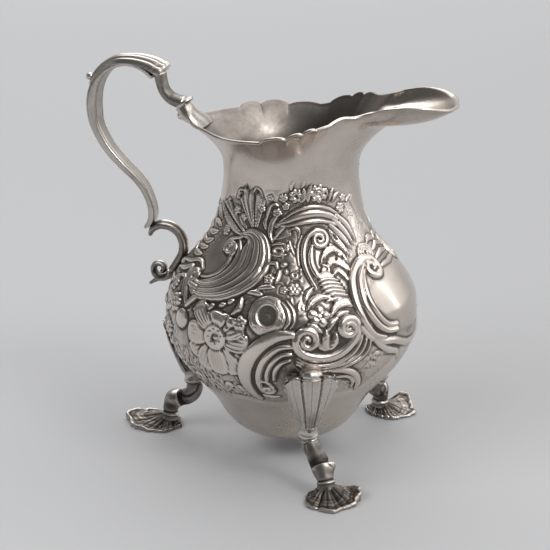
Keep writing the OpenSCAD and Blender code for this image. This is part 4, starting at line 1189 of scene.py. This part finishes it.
def leg_path(reach, sway, lift):
    """Stations of a leg below its knee shell. lift raises the knuckle."""
    return [
        [30.4, 0, 17.2, 2.45, 2.3, 2.4], [30.1, 0, 15.8, 2.35, 2.1, 2.2], [29.8, 0, 14.3, 2.5, 2.4, 2.4],
        [29.6, 0.03 * sway, 13.1, 2.1, 2.1, 2], [29.6 - 0.2 * lift, 0.14 * sway, 11.7, 2.1, 2, 1.9],
        [30.2 - 0.3 * lift + 0.3 * reach, 0.34 * sway, 10.2 - 0.1 * lift, 2.1, 2, 1.9],
        [31.8 + 0.6 * reach, 0.56 * sway, 8.8 + 0.2 * lift, 2.4, 2.2, 2],
        [33.4 + 0.2 * lift + 0.84 * reach, 0.76 * sway, 7.4 + lift, 2.8, 2.5, 2.3],
        [34.7 + 0.2 * lift + 0.95 * reach, 0.9 * sway, 5.6 + 0.6 * lift, 2.4, 2.2, 2.1],
        [FOOT_R - 0.2 + reach, 0.97 * sway, 4, 2.2, 2.2, 2.1], [FOOT_R + reach, sway, 2.6, 2.5, 2.4, 2.4],
    ]


def turn(g, degrees):
    """Points turned about the body's axis."""
    t = math.radians(degrees)
    return np.stack([g[..., 0] * math.cos(t) - g[..., 1] * math.sin(t),
                     g[..., 0] * math.sin(t) + g[..., 1] * math.cos(t), g[..., 2]], -1)


# Knee shell stations: distance from the axis, height, half width, depth
KNEE = [
    [31, 16.9, 2.5, 2.1], [31.6, 18.7, 2.95, 2.2], [32.4, 21.2, 3.8, 2.3], [33.2, 24.3, 4.9, 2.3],
    [33.9, 27.5, 6.0, 2.1], [34.2, 29.7, 6.6, 1.9], [34.4, 30.9, 6.8, 1.8], [34.3, 31.4, 6.6, 1.4],
]


KNEE_SIDES = 300
PANEL = 0.40  # half width of a knee shell's middle panel, as a share of the shell's


def flutes(t):
    """Height across a knee shell, t from -1 to 1: broad ribs between deep cuts, each with a fine line."""
    apart = np.abs(t)
    main = 1 - bell(apart, PANEL, 0.05)
    side = 1 - 0.7 * bell(apart, 0.78, 0.05)
    fine = 1 - 0.35 * bell(t, 0, 0.028) - 0.07 * bell(apart, 0.2, 0.03)
    outer = 0.7 + 0.3 * np.sin(math.pi * np.clip((apart - PANEL) / 0.4, 0, 1))
    return main * side * fine * np.where(apart < PANEL, 0.72 + 0.28 * round_top(t / PANEL), outer)


def knee(a_deg):
    """Rings of a knee shell: fluted outside, plain against the body, veined on its flanks."""
    p = spline(KNEE, 12)
    a = 2 * math.pi * (np.arange(KNEE_SIDES) + 0.5) / KNEE_SIDES
    i = np.arange(len(p))[:, None] / len(p)
    c, t = np.cos(a)[None], np.sin(a)[None]
    f = flutes(t)
    wing = (np.abs(t) > PANEL) * np.sin(math.pi * np.clip((np.abs(t) - PANEL) / 0.6, 0, 1)) ** 0.7
    deep = mix(0.2, 0.34, step01(i * 1.3))
    g = np.where(c > 0, 1 - deep + deep * f, 1 - deep)
    # Each side panel ends in a lobe that rolls forwards, higher than the middle panel
    lip = (0.35 * f + 1.15 * wing) * step01((i - 0.84) / 0.1) * step01((1.02 - i) / 0.05)
    outward = np.abs(c) ** 0.8 * p[:, 3:4] * g + lip * np.abs(c) ** 0.3
    x = p[:, :1] + np.where(c > 0, outward, c * 3.0)
    flank = step01((0.25 - c) / 0.3)
    veins = np.sin(22.5 * c + 13 * i + 1.2 * np.sin(17 * i)) + 0.6 * np.sin(31 * i - 9 * c)
    y = p[:, 2:3] * t * (0.955 + 0.045 * g + 0.06 * flank * veins)
    z = p[:, 1:2] - 1.5 * np.abs(t) ** 2.5 * i
    z = z - 0.9 * (1 - f) * step01((i - 0.7) / 0.3) * (c > 0) * (1 - wing)
    z = z + 1.5 * wing * step01((i - 0.6) / 0.4)
    return turn(np.stack([x, y, z], -1), a_deg)


# Raised and sunken rings of a leg: where along it, half width, height
LEG_RINGS = (
    (0.02, 0.02, 0.08), (0.09, 0.04, -0.03), (0.20, 0.04, 0.08),
    (0.285, 0.02, -0.08), (0.865, 0.014, -0.1), (0.90, 0.018, 0.14),
)


def shank(a_deg, reach, sway, lift, shelf):
    """Rings of a leg: ringed top, twisted limb, a knuckle that overhangs from shelf down, an ankle ring."""

    def shape(s, a, val):
        ring = sum(high * bell(s, at, wide) for at, wide, high in LEG_RINGS)
        limb = 0.14 * step01((s - 0.28) / 0.04) * step01((0.66 - s) / 0.1)
        ledge = 0.36 * step01((s - shelf) / 0.016) * step01((0.82 - s) / 0.12)
        ledge = ledge - 0.24 * bell(s, shelf - 0.02, 0.022)
        knuckle = (0.5 + 0.5 * np.cos(a - 2.1)) ** 1.3 * ledge
        twist = -0.16 * bell(np.sin(a - 1.2 - 7.0 * (s - 0.45)), 0, 0.28)
        twist = twist * step01((s - 0.27) / 0.06) * step01((0.62 - s) / 0.06)
        dent = -0.16 * bell(np.sin(1.5 * (a - 2.6) + 9 * (s - 0.72)), 0, 0.3) * bell(s, 0.72, 0.03)
        swell = 1 + ring + limb + knuckle + twist + dent
        u, w = oval(s, a, val)
        return u * swell, w * swell

    return turn(swept(leg_path(reach, sway, lift), 16, 96, shape), a_deg)


def around(radii, b):
    """Smooth closed curve through a reach for each eighth of a turn."""
    q = np.asarray(radii, float)
    k = (b / (math.pi / 4)) % 8
    i = np.floor(k).astype(int) % 8
    return cubic(q[(i + 7) % 8], q[i], q[(i + 1) % 8], q[(i + 2) % 8], k - np.floor(k))


FOOT_SIDES, FOOT_ROWS = 360, 44


def foot(a_deg, reach, sway, outline, raised):
    """Rings of a pleated shell: steep at the ankle, ragged at its edge, with one part turned up."""
    b = 2 * math.pi * np.arange(FOOT_SIDES) / FOOT_SIDES
    lobes = np.abs(np.cos(3.5 * (b + 0.22 * np.sin(2 * b + 0.6) + 0.07 * np.sin(5 * b + 2))))
    fine = np.abs(np.cos(13.5 * b + 0.4))
    ragged = 0.012 * np.sin(11 * b + 1) + 0.012 * np.sin(17 * b + 2) + 0.01 * np.sin(29 * b)
    edge = around(outline, b) * (1 - 0.12 * (1 - lobes**0.6) - 0.02 * (1 - fine) + ragged)
    v = ((np.arange(FOOT_ROWS) + 1) / FOOT_ROWS)[:, None]
    pleat = ((lobes**0.5 - 0.6) * 1.3 + 0.3 * (fine - 0.5)) * np.sin(math.pi * np.clip(v, 0, 0.95)) ** 0.8
    lump = 0.16 * np.sin(7 * b + 9 * v) * np.sin(13 * v - 5 * b) * step01((v - 0.3) / 0.3)
    lump = lump + 0.07 * np.sin(19 * b + 21 * v) * np.sin(33 * v - 8 * b) * step01((v - 0.4) / 0.3)
    curl_up = 0.3 * bell(v, 0.96, 0.035) * (0.4 + 0.6 * lobes**0.5)
    raised_at, raised_half, raised_by = raised
    apart = np.abs((np.degrees(b) - raised_at + 540) % 360 - 180)
    turned_up = raised_by * bell(apart, 0, raised_half) * v**2.4
    high = 0.7 + 3.1 * (1 - v) ** 1.8 + 0.4 * (1 - v) + pleat + curl_up + turned_up + lump

    def ring(share, height):
        return np.stack(np.broadcast_arrays(share * edge * np.cos(b), share * edge * np.sin(b), height), -1)

    top = ring(v, np.maximum(high, 0.5))
    # Down over the edge, then in under the foot, as (share of the outline, share of the edge's height)
    below = ((1.012, 0.75), (1.005, 0.35), (0.985, 0), (0.8, 0), (0.5, 0), (0.2, 0))
    g = np.concatenate([top, [ring(f, h * top[-1, :, 2]) for f, h in below]])
    return turn(g + np.array([FOOT_R + reach, sway, 0]), a_deg)


DOME = [
    [0.6, -0.9], [2.6, -0.8], [3.15, -0.6], [3.2, -0.3], [2.8, -0.05],
    [2.95, 0.15], [2.9, 0.8], [2.4, 1.6], [1.4, 2.1], [0.4, 2.2],
]
DOME_R, DOME_Z = 34.0, 31.7
# Name, direction in degrees, reach and sway of the foot, the foot's outline, where its edge turns up
# (direction, half width, height), how far the knuckle is lifted, and where along the leg it starts
LEGS = [
    ("near", -66, 2.8, 3.5, [11.6, 9.6, 9.4, 5.2, 3.6, 3.9, 5.2, 8.8], (78, 26, 2.2), -0.3, 0.69),
    ("far", 49, -0.4, 6.2, [10, 7.6, 6, 4.2, 3.6, 4.7, 7.4, 10.2], (8, 19, 3.4), 0.9, 0.63),
    ("back", 171, 1.2, 1.8, [13.8, 9.4, 7, 3.8, 3.6, 3.8, 5.8, 9.6], (345, 32, 1.5), 1.0, 0.62),
]
for who, a_deg, reach, sway, outline, raised_edge, lift, shelf in LEGS:
    c = np.cos(2 * math.pi * (np.arange(KNEE_SIDES) + 0.5) / KNEE_SIDES)
    # Darker on the shell's flanks and on its side against the body
    darkening = 0.18 + 0.5 * step01((0.2 - c) / 0.4)
    shell = closed_tube(f"{who}_knee", knee(a_deg), cast, rounds=6, depth=0.16, tarnish=darkening)
    place(shell, f"{who}_knee_shell")

    limb = shank(a_deg, reach, sway, lift, shelf)
    s = np.linspace(0, 1, len(limb))[:, None]
    # Lighter on the top rings, the knuckle's upper edge and the ankle ring; darker down the limb and just
    # above the knuckle
    darkening = 0.2 + 0.5 * step01((s - 0.26) / 0.06) - 0.45 * bell(s, shelf + 0.015, 0.018)
    darkening = darkening - 0.4 * bell(s, 0.9, 0.02) + 0.5 * bell(s, shelf - 0.035, 0.035)
    place(closed_tube(f"{who}_shank_cast", limb, cast, rounds=6, tarnish=darkening), f"{who}_shank")

    plate = foot(a_deg, reach, sway, outline, raised_edge)
    v = ((np.arange(len(plate)) + 1) / FOOT_ROWS)[:, None]
    b = 2 * math.pi * np.arange(FOOT_SIDES)[None] / FOOT_SIDES
    # Lighter along a worn stretch of the edge and at the ankle, dull over the rest, and darker underneath
    wear_and_lit_side = bell(v, 0.98, 0.018) * (0.35 + 0.65 * np.sin(5.3 * b + 2) ** 2 * np.sin(11 * b) ** 2)
    darkening = 0.72 - wear_and_lit_side - 0.3 * bell(v, 0.02, 0.06) + 0.5 * (v > 1)
    plate = closed_tube(f"{who}_foot_shell", plate, cast_foot, cap=False, rounds=8, depth=0.2, flip=True,
                        tarnish=darkening)
    place(plate, f"{who}_foot", slot="cast_foot_silver")

    at = (DOME_R * math.cos(math.radians(a_deg)), DOME_R * math.sin(math.radians(a_deg)), DOME_Z)
    dome = lathe(f"{who}_knee_dome", DOME, at, per=8, wave=lambda z, a: 1 + 0.02 * np.cos(9 * a) * (z > 0))
    place(dome, f"{who}_knee_boss")
# ------------------------------------------------------------------ floor, lights, camera


FLOOR_HALF = 1600
FLOOR_TONE = (0.415, 0.42, 0.43)


def matt(name, colour, rough):
    """A matt surface whose colour varies very slightly from place to place."""
    mat = bpy.data.materials.new(name)
    mat.use_nodes = True
    tree = mat.node_tree
    noise = add_node(tree, "ShaderNodeTexNoise", {"Scale": 6.0, "Detail": 3.0})
    ramp = add_node(tree, "ShaderNodeValToRGB", {"Fac": noise.outputs["Fac"]})
    ramp.color_ramp.elements[0].color = (*[q * 0.985 for q in colour], 1)
    ramp.color_ramp.elements[1].color = (*colour, 1)
    bsdf = tree.nodes["Principled BSDF"]
    bsdf.inputs["Roughness"].default_value = rough
    tree.links.new(ramp.outputs["Color"], bsdf.inputs["Base Color"])
    return mat


corners = [[x * FLOOR_HALF, y * FLOOR_HALF, 0] for x, y in ((-1, -1), (1, -1), (1, 1), (-1, 1))]
new_mesh("Floor", corners, [[0, 1, 2, 3]], matt("floor_paper", FLOOR_TONE, 0.75))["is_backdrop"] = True

world = bpy.data.worlds.new("Studio")
bpy.context.scene.world = world
world.use_nodes = True
sky = world.node_tree
ray = sky.nodes.new("ShaderNodeTexCoord").outputs["Generated"]


def lobe(direction, inner, outer, strength, before):
    """Adds a soft patch of light to the sky round a direction. inner and outer are its edges in degrees."""
    aim = tuple(Vector(direction).normalized())
    dot = add_node(sky, "ShaderNodeVectorMath", {0: ray, 1: aim}, operation="DOT_PRODUCT").outputs["Value"]
    far, near = math.cos(math.radians(outer)), math.cos(math.radians(inner))
    ends = {"Value": dot, "From Min": far, "From Max": near, "To Max": strength}
    patch = add_node(sky, "ShaderNodeMapRange", ends, interpolation_type="SMOOTHSTEP").outputs["Result"]
    return add_node(sky, "ShaderNodeMath", {0: patch, 1: before}, operation="ADD").outputs[0]


level = lobe((0.35, 1.0, 0.22), 45, 100, 0.42, 0.13)
level = lobe((0.95, 0.25, 0.30), 20, 55, 0.52, level)
level = lobe((0.62, -0.36, 0.70), 14, 32, 1.4, level)
level = lobe((-0.9, -0.25, 0.30), 6, 20, 0.3, level)
level = lobe((0.1, 0.5, 1.0), 15, 60, 0.5, level)
background = sky.nodes["Background"]
background.inputs["Color"].default_value = (1.0, 0.99, 0.985, 1)
sky.links.new(level, background.inputs["Strength"])


def area(name, at, aim, size, power, colour=(1, 1, 1), diffuse=True, glossy=True):
    """A rectangular lamp that faces aim. It can be left out of matt light or out of reflections."""
    lamp = bpy.data.lights.new(name, "AREA")
    lamp.shape = "RECTANGLE"
    lamp.size, lamp.size_y = size
    lamp.energy, lamp.color = power, colour
    ob = link(bpy.data.objects.new(name, lamp))
    ob.location = at
    ob.rotation_euler = (Vector(aim) - Vector(at)).to_track_quat("-Z", "Y").to_euler()
    ob.visible_diffuse, ob.visible_glossy = diffuse, glossy


area("Key", (0.75, -0.42, 0.80), (0, 0, 0.05), (0.34, 0.30), 2.6, (1.0, 0.985, 0.965))
# The card overhead and the window are there for the silver to reflect
area("Overhead", (-0.25, 0.7, 1.3), (-0.15, 0.55, 0), (1.4, 0.9), 9.5, diffuse=False)
area("Window", (0.95, 0.62, 0.32), (0, 0, 0.06), (0.11, 1.0), 0.6, diffuse=False)
# These two soften the shadow on the floor and aren't seen in the silver
area("Fill", (-0.55, -0.75, 0.75), (0, 0, 0), (1.1, 0.6), 9.0, glossy=False)
area("Backing", (-0.4, 1.2, 0.8), (-0.2, 0.8, 0), (1.2, 0.5), 5.5, glossy=False)

# Camera: its direction from the jug, its distance, and the height and sideways place it looks at
AZIMUTH, ELEVATION = math.radians(15.77), math.radians(16.79)
DISTANCE, LOOK_Z, LOOK_RIGHT = 0.5533, 0.04844, -0.00431
SENSOR_MM, LENS_MM = 36.0, 134.889
right = Vector((math.cos(AZIMUTH), math.sin(AZIMUTH), 0))
back = Vector((right.y * math.cos(ELEVATION), -right.x * math.cos(ELEVATION), math.sin(ELEVATION)))
cam_data = bpy.data.cameras.new("Camera")
cam_data.sensor_width = SENSOR_MM
cam_data.lens = LENS_MM
cam_data.clip_start = 0.01
cam = link(bpy.data.objects.new("Camera", cam_data))
cam.location = Vector((0, 0, LOOK_Z)) + right * LOOK_RIGHT + back * DISTANCE
cam.rotation_euler = (-back).to_track_quat("-Z", "Y").to_euler()
bpy.context.scene.camera = cam
bpy.context.scene.view_settings.view_transform = "Standard"
sizes["after"] = plain(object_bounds())
